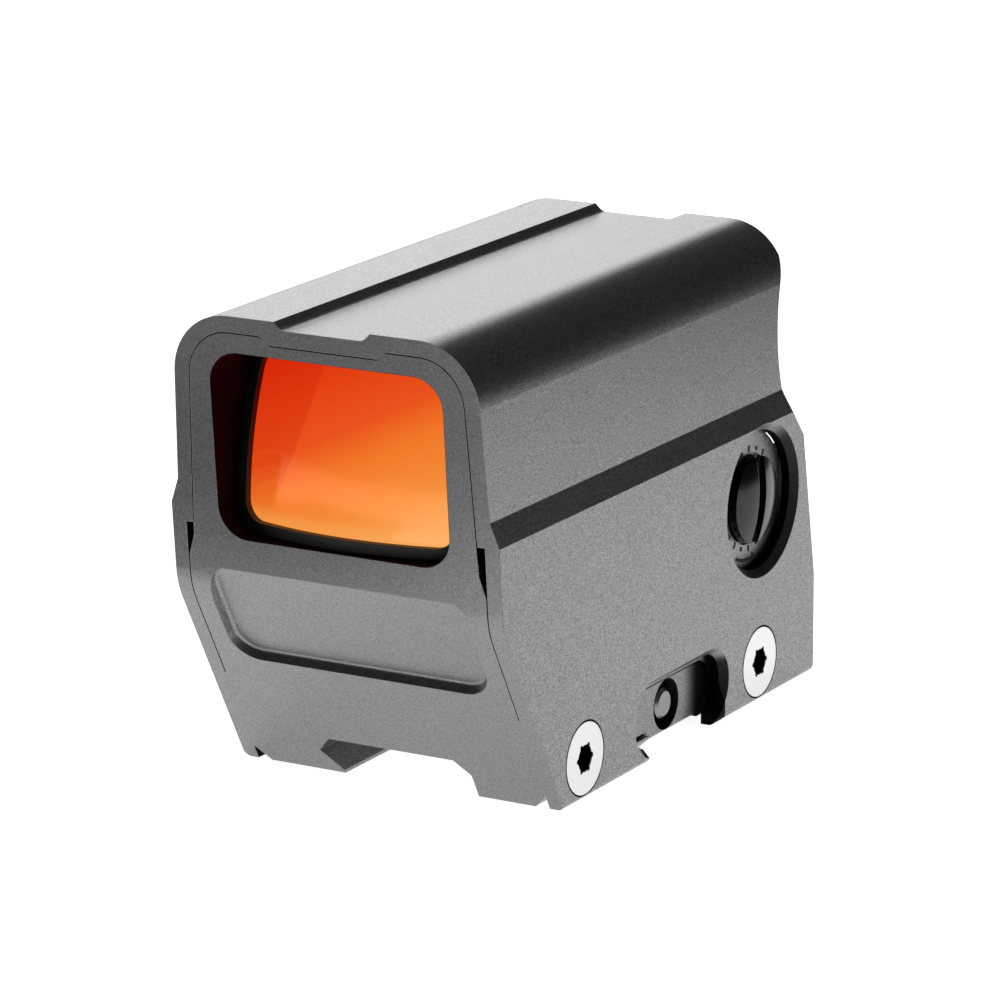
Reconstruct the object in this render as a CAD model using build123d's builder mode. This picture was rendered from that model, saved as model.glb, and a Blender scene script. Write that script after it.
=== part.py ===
"""Enclosed red dot finder on a rail clamp, in millimetres.

X is to the right of someone looking at the front glass, Y runs from the front glass to the eyepiece
window, and Z is up.  The origin is the middle of the underside, where the finder stands on its feet.
"""

import os
from math import cos, radians, sin, tan

from build123d import *

os.makedirs("parts", exist_ok=True)

# ---------------------------------------------------------------- overall
LENGTH = 84.6
WIDTH = 46.0
HEIGHT = 61.2
FRONT_RAKE = 4.5  # lean of the face above the chin line, degrees
CHIN_RAKE = 29.1  # lean of the face below the chin line, degrees
CHIN_Z = 26.1  # height of the chin line
CHIN_BLEND = 10.0

# ---------------------------------------------------------------- hood
WALL = 2.0
CROWN_HALF = 21.85  # half width at the foot of the crown
CROWN_FOOT_Z = 39.8
CROWN_DRAFT = 2.4
CROWN_CORNER = 8.0
SHOULDER_Z = 36.7  # where the sloping shoulder meets the lower side
CHANNEL_TOP = 13.4
CHANNEL_FLOOR = 11.2
CHANNEL_DEPTH = 1.0
CHANNEL_BLEND = 1.4  # radius along the foot of the channel
CHANNEL_EDGE = 0.8  # radius along the same step on the inside
LEDGE_RIGHT_Z = 36.6  # inner ledges, which stop just above the housing's flanks
LEDGE_LEFT_Z = 34.4
HOOD_TIP = 0.9
REAR_CROWN_INSET = 5.7  # how far the hood's rear edge stands inside the overall length
REAR_WAIST_INSET = 8.3
REAR_LEDGE_INSET = 6.5
REAR_SHOULDER_INSET = 3.4
REAR_CROWN_Z = 57.0
REAR_WAIST_Z = 46.5
REAR_SHOULDER_Z = 33.0
REAR_FOOT_Z = 13.3
EDGE_CHAMFER = 1.0  # chamfer round every opening in the hood

# ---------------------------------------------------------------- housing
PARTING = 0.14  # visible joint between hood and housing
FLANK_TOP_Z = 33.0
FLANK_LOW_Z = 30.2
FLANK_BLEND = 1.5
PAD_TOP_Z = 13.2  # below this the housing bears on the hood
FOOT_CHAMFER = 1.9
FOOT_HALF = 19.0
WINDOW_HALF = 16.2
WINDOW_TOP_INSET = 4.55  # from the top of the hood to the tunnel's ceiling
WINDOW_SILL_Z = 33.07
WINDOW_CORNER = 4.0
TUNNEL_STEP = 1.0  # the tunnel is narrower by this behind the lens
POCKET_HALF = 18.4
POCKET_ABOVE = 3.9  # along the chin, above and below the chin line
POCKET_BELOW = 11.5
POCKET_DEPTH = 1.2
POCKET_CORNER = 3.4
POCKET_DRAFT = 24.0
POCKET_BLEND = 0.5  # radius along the foot of the pocket's walls
BEZEL_SEAT_INSET = 11.3  # from the rear end of the finder
COVER_SEAT_INSET = 6.3
COVER_TOP_Z = 31.5
COVER_FOOT_Z = 10.2
BASE_INSET = 0.3

# ---------------------------------------------------------------- rail groove and clamp
RAIL_SEAT_Z = 5.1
RAIL_HALF = 10.85  # from the middle to the V on the fixed side
RAIL_SIDE_GAP = 0.15  # extra on the clamp's side
RAIL_VEE_Z = 3.12
LIP_HALF = 8.18
LIP_Z = 0.45
BOLT_Y = 5.56
BOLT_Z = 5.0
BOLT_RADIUS = 2.0
BOLT_CLEARANCE = 0.08
BOLT_HEAD_RADIUS = 3.8
BOLT_HEAD = 3.0
BOLT_TIP_X = 20.4
BOLT_SOCKET_RADIUS = 1.8
WASHER = 0.8
JAW_BEFORE_BOLT = 7.5  # the jaw's rounded ends are this far before and after the bolt
JAW_RADIUS = 3.6
JAW_FACE_X = 20.6
JAW_INNER_X = 11.7
JAW_TRAVEL = 2.1
JAW_STEP_BEFORE_BOLT = 5.3
JAW_STEP_Z = 2.4
JAW_BORE = 3.3
JAW_BORE_DEPTH = 1.4
JAW_CLEARANCE = 0.12
JAW_SPRING_DEPTH = 3.4
OPENING_RADIUS = 4.05  # opening in the hood round the jaw
OPENING_Z = 5.5
OPENING_MOUTH = 17.4

# ---------------------------------------------------------------- fasteners
HOOD_SCREW_FRONT_Y = -19.8
HOOD_SCREW_REAR_Y = 26.8
HOOD_SCREW_Z = 5.3
HOOD_SCREW_HEAD = 4.6
HOOD_SCREW_RADIUS = 2.5
HOOD_SCREW_LENGTH = 9.0
HOOD_SCREW_SOCKET = 1.72
SMALL_HEAD = 1.35
SMALL_RADIUS = 0.8
SMALL_LENGTH = 6.0
SMALL_SOCKET = 0.55
HEAD_GAP = 0.14  # ring round each hood screw's head
THREAD_CLEARANCE = 0.03

# ---------------------------------------------------------------- adjusters
DIAL_Y = 27.46
DIAL_Z = 26.75
DIAL_OPENING = 9.08
BOSS = 1.8  # thickness of the round boss behind each dial
DIAL_RADIUS = 5.75
DIAL_RIM = 1.7
DIAL_DOME = 0.85
DIAL_SLOT = 1.9
DIAL_SLOT_DEPTH = 1.3
DIAL_TILT = 7.0  # lean of the slot from upright, degrees
DIAL_SINK = 0.55  # depth of the seat round the dial
DIAL_GAP = 0.25
CLICKS = 20
CLICK_CIRCLE = 4.4
CLICK_RADIUS = 0.35
BALL = 0.6
CLICK_BORE = 3.6
HUB_RADIUS = 3.0
HUB_GROOVE = 2.3
HUB_GROOVE_FROM_SEAT = 2.0
ORING = 0.36  # radius of the cord of every O-ring
LEAD_RADIUS = 1.8
WINDAGE_LEAD = 5.3
ELEVATION_LEAD = 6.8
CLIP = 0.8
CLIP_OUTER = 3.6
RUN = 0.06  # running clearance of every turning or sliding fit
ADJUST = 1.0  # travel of the dot each side of the middle

# ---------------------------------------------------------------- emitter and its stages
BAY_HALF = 14.6
BAY_FLOOR_Z = 13.9
BAY_ROOF_Z = 30.9
BAY_FRONT_Y = 15.0
STAGE_FRONT_Y = 18.4
STAGE_DEPTH = 12.6
STAGE_HALF = 12.8
STAGE_FLOOR = 3.7  # from the bay's floor to the stage's plate
STAGE_PLATE = 2.0
POST_X = 11.0
POST_RADIUS = 1.2
POST_BACK = 1.9  # posts stand this far behind the front of the stage
DRIVE_HALF = 2.9  # half width of what the two lead screws move
WEDGE_RATIO = 0.5
WEDGE_LEFT_X = -11.4
WEDGE_RIGHT_X = -3.0
WEDGE_MIDDLE_Z = 22.6
RAMP_LEFT_X = -11.0
RAMP_RIGHT_X = -4.0
CARRIAGE_HALF = 6.6
CARRIAGE_PLATE = 2.0
CARRIAGE_ARM_X = 0.6
CARRIAGE_REAR_X = -2.4
CARRIAGE_TOP_Z = 29.6
PLUNGER_RIGHT_X = 12.2
PLUNGER_FLOOR_Z = 24.0
STEM_HALF = 2.3
STEM_Y = 22.4
STEM_DEPTH = 4.0
STEM_TOP_Z = 36.9
EMITTER_RADIUS = 1.25
EMITTER_LENGTH = 1.6
WIRE = 0.25  # wire radius of the small springs

# ---------------------------------------------------------------- lens
LENS_SPHERE = 45.0  # radius of the lens frame's front
LENS_CENTRE_BACK = 45.5  # centre of that sphere behind the chin line
LENS_CENTRE_DROP = 9.36  # centre of that sphere below the middle of the window
LENS_BAR = 1.5
LENS_LIP = 1.0
LENS_EDGE = 0.8  # how far the lens reaches under the frame's lip
LENS_THICK = 2.6
LENS_SEAL = 0.8
LENS_FRAME_BACK = 14.6  # rear of the frame behind the chin line
FIT = 0.05

# ---------------------------------------------------------------- rear window, cover and buttons
PANE_OVER = 0.9
PANE_THICK = 1.5
PANE_GASKET = 0.4
BEZEL_THICK = 3.0
BEZEL_SCREW_X = 17.75
BEZEL_SCREW_LOW_Z = 37.0
BEZEL_SCREW_HIGH_Z = 52.0
COVER_THICK = 2.6
COVER_HALF = 20.4
COVER_CORNER = 2.0
COVER_SCREW_IN = 1.9
MEMBRANE = 0.5
BUTTON_X = 7.9
BUTTON_Z = 21.2
BUTTON_RADIUS = 3.9
BUTTON_PROUD = 1.1
BUTTON_CROWN = 0.5
BUTTON_FLANGE = 0.7
BUTTON_FLANGE_OUT = 0.7
BUTTON_TRAVEL = 0.8
MARK_WIDTH = 0.7
MARK_LENGTH = 3.0
MARK_DEPTH = 0.3
BOARD_HALF = 16.1
BOARD_THICK = 1.2
BOARD_SEAT_BACK = 3.2  # the board's shoulder in front of the cover's seat
BOARD_SCREW_X = 15.4
BOARD_SCREW_RADIUS = 0.6
BOARD_SCREW_HEAD = 0.5
SWITCH_RADIUS = 2.2

# ---------------------------------------------------------------- battery
CELL_RADIUS = 10.0
CELL_THICK = 3.2
CELL_Y = -10.0
CELL_Z = 20.4
CELL_GAP = 0.15
CAP_RADIUS = 11.9
CAP_PLUG_RADIUS = 10.9
CAP_FLANGE = 2.2
CAP_PLUG = 3.4
CAP_FACE_X = 22.7
CAP_SLOT = 1.8
CAP_SLOT_LENGTH = 17.0
CAP_SLOT_DEPTH = 0.9
CAP_GRIPS = 24
CAP_GRIP_RADIUS = 0.45
CONTACT = 0.4
PASSAGE = 1.2


# ---------------------------------------------------------------- worked out from those
REAR_Y = LENGTH / 2
CHIN_Y = -LENGTH / 2 + (HEIGHT - CHIN_Z) * tan(radians(FRONT_RAKE))
FOOT_FRONT_Y = CHIN_Y + CHIN_Z * tan(radians(CHIN_RAKE))
SIDE_X = WIDTH / 2
INNER_X = SIDE_X - WALL  # inner face of the hood's lower walls
MOUNT_X = INNER_X - PARTING  # outer face of the housing's lower sides
SEAT_X = MOUNT_X - DIAL_SINK  # where the dials sit
WINDOW_TOP_Z = HEIGHT - WINDOW_TOP_INSET
WINDOW_TALL = WINDOW_TOP_Z - WINDOW_SILL_Z
WINDOW_MID_Z = WINDOW_SILL_Z + WINDOW_TALL / 2
BEZEL_SEAT_Y = REAR_Y - BEZEL_SEAT_INSET
COVER_SEAT_Y = REAR_Y - COVER_SEAT_INSET
BOARD_SEAT_Y = COVER_SEAT_Y - BOARD_SEAT_BACK
LENS_CENTRE = (0, CHIN_Y + LENS_CENTRE_BACK, WINDOW_MID_Z - LENS_CENTRE_DROP)
LENS_BACK_Y = CHIN_Y + LENS_FRAME_BACK
JAW_ENDS = 2 * JAW_BEFORE_BOLT  # between the centres of the jaw's rounded ends
JAW_STEP_Y = BOLT_Y - JAW_STEP_BEFORE_BOLT
JAW_REAR_Y = BOLT_Y + JAW_BEFORE_BOLT + JAW_RADIUS
HEAD_SEAT_X = INNER_X - BOLT_HEAD
STAGE_Y = STAGE_FRONT_Y + STAGE_DEPTH / 2
STAGE_REAR_Y = STAGE_FRONT_Y + STAGE_DEPTH
STAGE_FLOOR_Z = BAY_FLOOR_Z + STAGE_FLOOR
STAGE_TOP_Z = STAGE_FLOOR_Z + STAGE_PLATE
CARRIAGE_FLOOR_Z = STAGE_TOP_Z + RUN
CARRIAGE_PLATE_Z = CARRIAGE_FLOOR_Z + CARRIAGE_PLATE
WEDGE_MIDDLE_X = (WEDGE_LEFT_X + WEDGE_RIGHT_X) / 2
CAP_SEAT_X = CAP_FACE_X - CAP_FLANGE
CELL_OUT_X = CAP_SEAT_X - CAP_PLUG - CELL_GAP
CELL_IN_X = CELL_OUT_X - CELL_THICK
WELL_FLOOR_X = CELL_IN_X - 3 * CONTACT
PAST = 5.0  # how far a cutter runs beyond what it cuts
FLUSH = (Align.CENTER, Align.CENTER, Align.MIN)
DOWN = (Align.CENTER, Align.CENTER, Align.MAX)


def crown_half(z):
    """Half width of the hood's drafted crown at height z."""
    return CROWN_HALF - (z - CROWN_FOOT_Z) * tan(radians(CROWN_DRAFT))


def front_y(z):
    """Y of the front face at height z, above the chin line."""
    return CHIN_Y - (z - CHIN_Z) * tan(radians(FRONT_RAKE))


def wedge_z(x):
    """Height of the sloping face between the wedge and the stage's ramp."""
    return WEDGE_MIDDLE_Z + WEDGE_RATIO * (x - WEDGE_MIDDLE_X)


def nearest(items, *points):
    """The vertex of a sketch nearest to each point."""
    return [items.sort_by_distance(point)[0] for point in points]


def across(y, x=0, z=0):
    """Upright plane across the finder, facing the eyepiece: local x is -X and local y is Z."""
    return Plane(origin=(x, y, z), x_dir=(-1, 0, 0), z_dir=(0, 1, 0))


def side_plane(side, x, y, z):
    """Plane on a side wall, facing outwards; side is 1 on the right and -1 on the left."""
    return Plane(origin=(side * x, y, z), x_dir=(0, side, 0), z_dir=(side, 0, 0))


def window_outline(grow, mode=Mode.ADD):
    """Rounded window in a sketch across the finder, larger than the opening all round by grow."""
    with Locations((0, WINDOW_MID_Z)):
        RectangleRounded(
            2 * (WINDOW_HALF + grow), WINDOW_TALL + 2 * grow, WINDOW_CORNER + grow, mode=mode
        )


def crown_outline(shrink, foot_z):
    """Upper outline of the housing in a sketch across the finder, from the height foot_z up."""
    roof = HEIGHT - WALL - shrink
    land = CHANNEL_TOP / 2 + WALL - shrink
    foot = (crown_half(foot_z) - WALL - shrink, foot_z)
    with BuildLine() as outline:
        FilletPolyline(
            (0, roof - CHANNEL_DEPTH),
            (land - CHANNEL_DEPTH, roof - CHANNEL_DEPTH),
            (land, roof),
            (crown_half(HEIGHT) - WALL - shrink, roof),
            foot,
            radius=[CHANNEL_EDGE, CHANNEL_EDGE, CROWN_CORNER - WALL - shrink],
        )
        Line(foot, (0, foot_z))
        mirror(about=Plane.YZ)
    make_face(outline.edges())


def hood_side():
    """Side view of the hood, as a sketch."""
    with BuildSketch(Plane.YZ) as view:
        with BuildLine():
            Polyline(
                (REAR_Y - REAR_CROWN_INSET, REAR_CROWN_Z),
                (REAR_Y - REAR_CROWN_INSET, HEIGHT + PAST),
                (front_y(HEIGHT + PAST), HEIGHT + PAST),
                (CHIN_Y, CHIN_Z),
                (FOOT_FRONT_Y, 0),
                (REAR_Y, 0),
                (REAR_Y, REAR_FOOT_Z),
                (REAR_Y - REAR_SHOULDER_INSET, REAR_SHOULDER_Z),
                (REAR_Y - REAR_LEDGE_INSET, SHOULDER_Z),
            )
            ThreePointArc(
                (REAR_Y - REAR_LEDGE_INSET, SHOULDER_Z),
                (REAR_Y - REAR_WAIST_INSET, REAR_WAIST_Z),
                (REAR_Y - REAR_CROWN_INSET, REAR_CROWN_Z),
            )
        make_face()
        fillet(nearest(view.vertices(), (CHIN_Y, CHIN_Z)), CHIN_BLEND)
    return view.sketch


def flat_screw(plane, head, radius, cone, length, socket):
    """Countersunk screw with its head flush with a plane, as a solid."""
    with BuildPart(plane) as screw:
        Cylinder(radius, length, align=DOWN)
        Cone(radius, head, cone, align=DOWN)
        with BuildSketch(plane):
            Circle(socket)
            with PolarLocations(socket, 6):
                Circle(socket / 5)
        extrude(amount=-0.8 * cone, mode=Mode.SUBTRACT)
    return screw.part


def countersink(plane, head, radius, cone, depth):
    """Cutter for a countersunk screw, as a solid."""
    with BuildPart(plane) as hole:
        Cylinder(radius, depth, align=DOWN)
        Cone(radius, head, cone, align=DOWN)
    return hole.part


def coil(plane, radius, wire, length, turns):
    """Coil spring that stands on a plane, as a solid."""
    rise = length - 2 * wire
    with BuildPart() as spring:
        with BuildLine() as path:
            Helix(rise / turns, rise, radius)
        with BuildSketch(Plane(origin=path.line @ 0, z_dir=path.line % 0)):
            Circle(wire)
        sweep(is_frenet=True)
    return plane.offset(wire).location * spring.part


def save(part, name):
    """Label a finished piece and write it."""
    part.label = name
    export_step(part, f"parts/{name}.step")


def save_group(parts, name):
    """Write several like solids as one piece."""
    group = Compound(label=name, children=list(parts))
    export_step(group, f"parts/{name}.step")


HOOD_SCREW_PLANES = [
    side_plane(side, SIDE_X, y, HOOD_SCREW_Z)
    for side in (1, -1)
    for y in (HOOD_SCREW_FRONT_Y, HOOD_SCREW_REAR_Y)
]
BEZEL_SCREW_PLANES = [
    across(BEZEL_SEAT_Y + BEZEL_THICK, side * BEZEL_SCREW_X, z)
    for side in (1, -1)
    for z in (BEZEL_SCREW_LOW_Z, BEZEL_SCREW_HIGH_Z)
]
COVER_SCREW_PLANES = [
    across(COVER_SEAT_Y + MEMBRANE + COVER_THICK, side * (COVER_HALF - COVER_SCREW_IN), z)
    for side in (1, -1)
    for z in (COVER_FOOT_Z + COVER_SCREW_IN, COVER_TOP_Z - COVER_SCREW_IN)
]
BOARD_SCREW_PLANES = [
    across(BOARD_SEAT_Y + BOARD_THICK, side * BOARD_SCREW_X, (BAY_FLOOR_Z + BAY_ROOF_Z) / 2)
    for side in (1, -1)
]

# ================================================================ hood
with BuildPart() as hood:
    with BuildSketch(Plane.XZ) as hood_outer:
        with BuildLine():
            Polyline(
                (0, HEIGHT - CHANNEL_DEPTH),
                (CHANNEL_FLOOR / 2, HEIGHT - CHANNEL_DEPTH),
                (CHANNEL_TOP / 2, HEIGHT),
                (crown_half(HEIGHT), HEIGHT),
                (CROWN_HALF, CROWN_FOOT_Z),
                (SIDE_X, SHOULDER_Z),
                (SIDE_X, 0),
                (0, 0),
            )
            mirror(about=Plane.YZ)
        make_face()
        crown_corners = ((crown_half(HEIGHT), HEIGHT), (-crown_half(HEIGHT), HEIGHT))
        fillet(nearest(hood_outer.vertices(), *crown_corners), CROWN_CORNER)
        fillet(nearest(hood_outer.vertices(), (SIDE_X, 0), (-SIDE_X, 0)), HOOD_TIP)
        channel_feet = [(side * CHANNEL_FLOOR / 2, HEIGHT - CHANNEL_DEPTH) for side in (1, -1)]
        fillet(nearest(hood_outer.vertices(), *channel_feet), CHANNEL_BLEND)
    extrude(amount=LENGTH, both=True)
    with BuildSketch(Plane.XZ):
        crown_outline(0, LEDGE_LEFT_Z)
        with Locations((0, LEDGE_LEFT_Z)):
            Rectangle(2 * INNER_X, 2 * HEIGHT, align=(Align.CENTER, Align.MAX))
        with Locations((0, LEDGE_RIGHT_Z)):
            Rectangle(INNER_X, HEIGHT, align=(Align.MIN, Align.MAX))
    extrude(amount=LENGTH, both=True, mode=Mode.SUBTRACT)
    extrude(hood_side(), amount=WIDTH, both=True, mode=Mode.INTERSECT)
    # round openings for the two dials and the battery cap
    for side, y, z, radius in (
        (1, DIAL_Y, DIAL_Z, DIAL_OPENING),
        (-1, DIAL_Y, DIAL_Z, DIAL_OPENING),
        (-1, CELL_Y, CELL_Z, CAP_RADIUS + DIAL_GAP),
    ):
        add(
            countersink(
                side_plane(side, SIDE_X, y, z),
                radius + EDGE_CHAMFER,
                radius,
                EDGE_CHAMFER,
                2 * WALL,
            ),
            mode=Mode.SUBTRACT,
        )
    # long opening round the clamp jaw, open at the bottom
    jaw_side = side_plane(1, SIDE_X, BOLT_Y, OPENING_Z)
    with BuildSketch(jaw_side):
        SlotCenterToCenter(JAW_ENDS, 2 * (OPENING_RADIUS + EDGE_CHAMFER))
    extrude(amount=-EDGE_CHAMFER, taper=45, mode=Mode.SUBTRACT)
    with BuildSketch(jaw_side):
        SlotCenterToCenter(JAW_ENDS, 2 * OPENING_RADIUS)
        Rectangle(OPENING_MOUTH, HEIGHT, align=(Align.CENTER, Align.MAX))
    extrude(amount=-2 * WALL, mode=Mode.SUBTRACT)
    # notch for the clamp bolt's head
    with BuildSketch(side_plane(-1, SIDE_X, BOLT_Y, BOLT_Z)):
        Circle(BOLT_HEAD_RADIUS + EDGE_CHAMFER)
        Rectangle(
            2 * (BOLT_HEAD_RADIUS + EDGE_CHAMFER), HEIGHT, align=(Align.CENTER, Align.MAX)
        )
    extrude(amount=-2 * WALL, mode=Mode.SUBTRACT)
    for plane in HOOD_SCREW_PLANES:
        add(
            countersink(
                plane,
                HOOD_SCREW_HEAD + HEAD_GAP,
                HOOD_SCREW_RADIUS + HEAD_GAP,
                WALL - HEAD_GAP,
                2 * WALL,
            ),
            mode=Mode.SUBTRACT,
        )
save(hood.part, "hood")

# ================================================================ housing
with BuildPart() as housing:
    with BuildSketch(Plane.XZ):
        crown_outline(PARTING, FLANK_TOP_Z)
    extrude(amount=LENGTH, both=True)
    with BuildSketch(Plane.XZ) as housing_lower:
        flank = crown_half(FLANK_TOP_Z) - WALL - PARTING
        with BuildLine():
            Polyline(
                (0, FLANK_TOP_Z + FLANK_BLEND),
                (flank, FLANK_TOP_Z + FLANK_BLEND),
                (flank, FLANK_TOP_Z),
                (MOUNT_X, FLANK_LOW_Z),
                (MOUNT_X, PAD_TOP_Z),
                (INNER_X, PAD_TOP_Z),
                (INNER_X, FOOT_CHAMFER),
                (FOOT_HALF, 0),
                (0, 0),
            )
            mirror(about=Plane.YZ)
        make_face()
        flank_corners = [
            (side * x, z)
            for side in (1, -1)
            for x, z in ((flank, FLANK_TOP_Z), (MOUNT_X, FLANK_LOW_Z))
        ]
        fillet(nearest(housing_lower.vertices(), *flank_corners), FLANK_BLEND)
    extrude(amount=LENGTH, both=True)
    with BuildSketch(Plane.YZ) as housing_side:
        with BuildLine():
            Polyline(
                (BEZEL_SEAT_Y, COVER_TOP_Z),
                (BEZEL_SEAT_Y, HEIGHT + PAST),
                (front_y(HEIGHT + PAST), HEIGHT + PAST),
                (CHIN_Y, CHIN_Z),
                (FOOT_FRONT_Y, 0),
                (REAR_Y - BASE_INSET, 0),
                (REAR_Y - BASE_INSET, COVER_FOOT_Z),
                (COVER_SEAT_Y, COVER_FOOT_Z),
                (COVER_SEAT_Y, COVER_TOP_Z),
                close=True,
            )
        make_face()
        fillet(nearest(housing_side.vertices(), (CHIN_Y, CHIN_Z)), CHIN_BLEND)
    extrude(amount=WIDTH, both=True, mode=Mode.INTERSECT)
    # round bosses that fill the hood's openings behind the dials, relieved for the bezel
    for side in (1, -1):
        with Locations(side_plane(side, MOUNT_X, DIAL_Y, DIAL_Z)):
            Cylinder(DIAL_OPENING - RUN, BOSS, align=DOWN)
    crown_room = 2 * (crown_half(COVER_TOP_Z) - WALL)
    behind_bezel = (BEZEL_SEAT_Y, COVER_TOP_Z, crown_room)
    behind_cover = (COVER_SEAT_Y, COVER_FOOT_Z, WIDTH)
    for y, z, wide in (behind_bezel, behind_cover):
        with Locations((0, y, z)):
            Box(
                wide,
                LENGTH,
                HEIGHT,
                align=(Align.CENTER, Align.MIN, Align.MIN),
                mode=Mode.SUBTRACT,
            )
    # groove for the rail
    with BuildSketch(Plane.XZ):
        clamp_side = RAIL_HALF + RAIL_SIDE_GAP
        vee = RAIL_SEAT_Z - RAIL_VEE_Z
        with BuildLine():
            Polyline(
                (clamp_side, -PAST),
                (clamp_side, RAIL_VEE_Z),
                (clamp_side - vee, RAIL_SEAT_Z),
                (vee - RAIL_HALF, RAIL_SEAT_Z),
                (-RAIL_HALF, RAIL_VEE_Z),
                (-LIP_HALF, LIP_Z),
                (-LIP_HALF, -PAST),
                close=True,
            )
        make_face()
    extrude(amount=LENGTH, both=True, mode=Mode.SUBTRACT)
    # light tunnel, wide for the lens at the front and rebated for the rear glass
    with BuildSketch(across(LENS_BACK_Y)):
        window_outline(0)
    extrude(amount=-LENGTH, mode=Mode.SUBTRACT)
    with BuildSketch(Plane.XZ):
        window_outline(-TUNNEL_STEP)
    extrude(amount=LENGTH, both=True, mode=Mode.SUBTRACT)
    with BuildSketch(across(BEZEL_SEAT_Y)):
        window_outline(PANE_OVER - TUNNEL_STEP + FIT)
    extrude(amount=-PANE_THICK - PANE_GASKET, mode=Mode.SUBTRACT)
    # shallow pocket across the chin, with drafted walls
    lean = radians(CHIN_RAKE)
    chin = Plane(origin=(0, CHIN_Y, CHIN_Z), x_dir=(1, 0, 0), z_dir=(0, -cos(lean), -sin(lean)))
    flare = POCKET_DEPTH * tan(radians(POCKET_DRAFT))
    with BuildPart(mode=Mode.SUBTRACT) as pocket:
        with BuildSketch(chin.offset(-POCKET_DEPTH)):
            with Locations((0, (POCKET_ABOVE - POCKET_BELOW) / 2)):
                RectangleRounded(
                    2 * (POCKET_HALF - flare), POCKET_ABOVE + POCKET_BELOW - 2 * flare, POCKET_CORNER
                )
        extrude(amount=PAST, taper=-POCKET_DRAFT)
        floor = pocket.faces().sort_by(Axis((0, 0, 0), chin.z_dir))[0]
        fillet(floor.edges(), POCKET_BLEND)
    # pocket for the clamp jaw: rounded above its step, open to the groove below it
    with BuildSketch(side_plane(1, INNER_X + PAST, BOLT_Y, BOLT_Z)):
        SlotCenterToCenter(JAW_ENDS, 2 * (JAW_RADIUS + JAW_CLEARANCE))
        with Locations((-JAW_STEP_BEFORE_BOLT - JAW_CLEARANCE, JAW_STEP_Z - BOLT_Z - JAW_CLEARANCE)):
            Rectangle(LENGTH, HEIGHT, align=(Align.MAX, Align.MAX), mode=Mode.SUBTRACT)
    extrude(amount=JAW_INNER_X - JAW_CLEARANCE - INNER_X - PAST, mode=Mode.SUBTRACT)
    with Locations((0, JAW_STEP_Y - JAW_CLEARANCE, RAIL_VEE_Z)):
        Box(
            WIDTH,
            JAW_REAR_Y - JAW_STEP_Y + 2 * JAW_CLEARANCE,
            HEIGHT,
            align=(Align.MIN, Align.MIN, Align.MAX),
            mode=Mode.SUBTRACT,
        )
    # clamp bolt, right across, with a flat for its washer
    with Locations(side_plane(-1, INNER_X, BOLT_Y, BOLT_Z)):
        CounterBoreHole(
            BOLT_RADIUS + BOLT_CLEARANCE,
            BOLT_HEAD_RADIUS + DIAL_GAP,
            BOLT_HEAD,
            depth=INNER_X + JAW_INNER_X,
        )
    # electronics bay from the rear, with a shoulder for the board and a slot up into the tunnel
    bay_tall = BAY_ROOF_Z - BAY_FLOOR_Z
    for y, half in ((BAY_FRONT_Y, BAY_HALF), (BOARD_SEAT_Y, BOARD_HALF + FIT)):
        with Locations((0, y, BAY_FLOOR_Z)):
            Box(
                2 * half,
                LENGTH,
                bay_tall,
                align=(Align.CENTER, Align.MIN, Align.MIN),
                mode=Mode.SUBTRACT,
            )
    with Locations((0, STEM_Y, BAY_ROOF_Z)):
        Box(
            2 * (STEM_HALF + 1.5 * ADJUST),
            STEM_DEPTH + 4 * ADJUST,
            2 * (WINDOW_SILL_Z + TUNNEL_STEP - BAY_ROOF_Z) + PAST,
            mode=Mode.SUBTRACT,
        )
    # seats, bores and click holes of the two dials
    for side in (1, -1):
        with Locations(side_plane(side, MOUNT_X, DIAL_Y, DIAL_Z)):
            CounterBoreHole(
                HUB_RADIUS + RUN, DIAL_RADIUS + DIAL_GAP, DIAL_SINK, depth=MOUNT_X - BAY_HALF + PAST
            )
        with Locations(side_plane(side, SEAT_X, DIAL_Y, DIAL_Z - CLICK_CIRCLE)):
            Hole(BALL + FIT, depth=CLICK_BORE)
    # battery well from the left, stepped for the cap and the cell, with a passage to the bay
    with Locations(side_plane(-1, INNER_X, CELL_Y, CELL_Z)):
        CounterBoreHole(
            CAP_PLUG_RADIUS + RUN,
            CAP_RADIUS + DIAL_GAP,
            INNER_X - CAP_SEAT_X,
            depth=INNER_X - CAP_SEAT_X + CAP_PLUG + RUN,
        )
        Hole(CELL_RADIUS + CELL_GAP, depth=INNER_X - WELL_FLOOR_X)
    with Locations(across(BAY_FRONT_Y, -WELL_FLOOR_X - PASSAGE, CELL_Z)):
        Hole(PASSAGE, depth=BAY_FRONT_Y - CELL_Y)
    # tapped holes
    for plane in HOOD_SCREW_PLANES:
        with Locations(plane):
            Hole(HOOD_SCREW_RADIUS + THREAD_CLEARANCE, depth=HOOD_SCREW_LENGTH + FIT)
    for plane in BEZEL_SCREW_PLANES + COVER_SCREW_PLANES:
        with Locations(plane):
            Hole(SMALL_RADIUS + THREAD_CLEARANCE, depth=SMALL_LENGTH + FIT)
    for plane in BOARD_SCREW_PLANES:
        with Locations(plane):
            Hole(BOARD_SCREW_RADIUS + THREAD_CLEARANCE, depth=BOARD_THICK + SMALL_LENGTH / 2 + FIT)
save(housing.part, "housing")

save_group(
    [
        flat_screw(
            plane,
            HOOD_SCREW_HEAD,
            HOOD_SCREW_RADIUS,
            WALL - HEAD_GAP,
            HOOD_SCREW_LENGTH,
            HOOD_SCREW_SOCKET,
        )
        for plane in HOOD_SCREW_PLANES
    ],
    "hood_screws",
)

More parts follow.
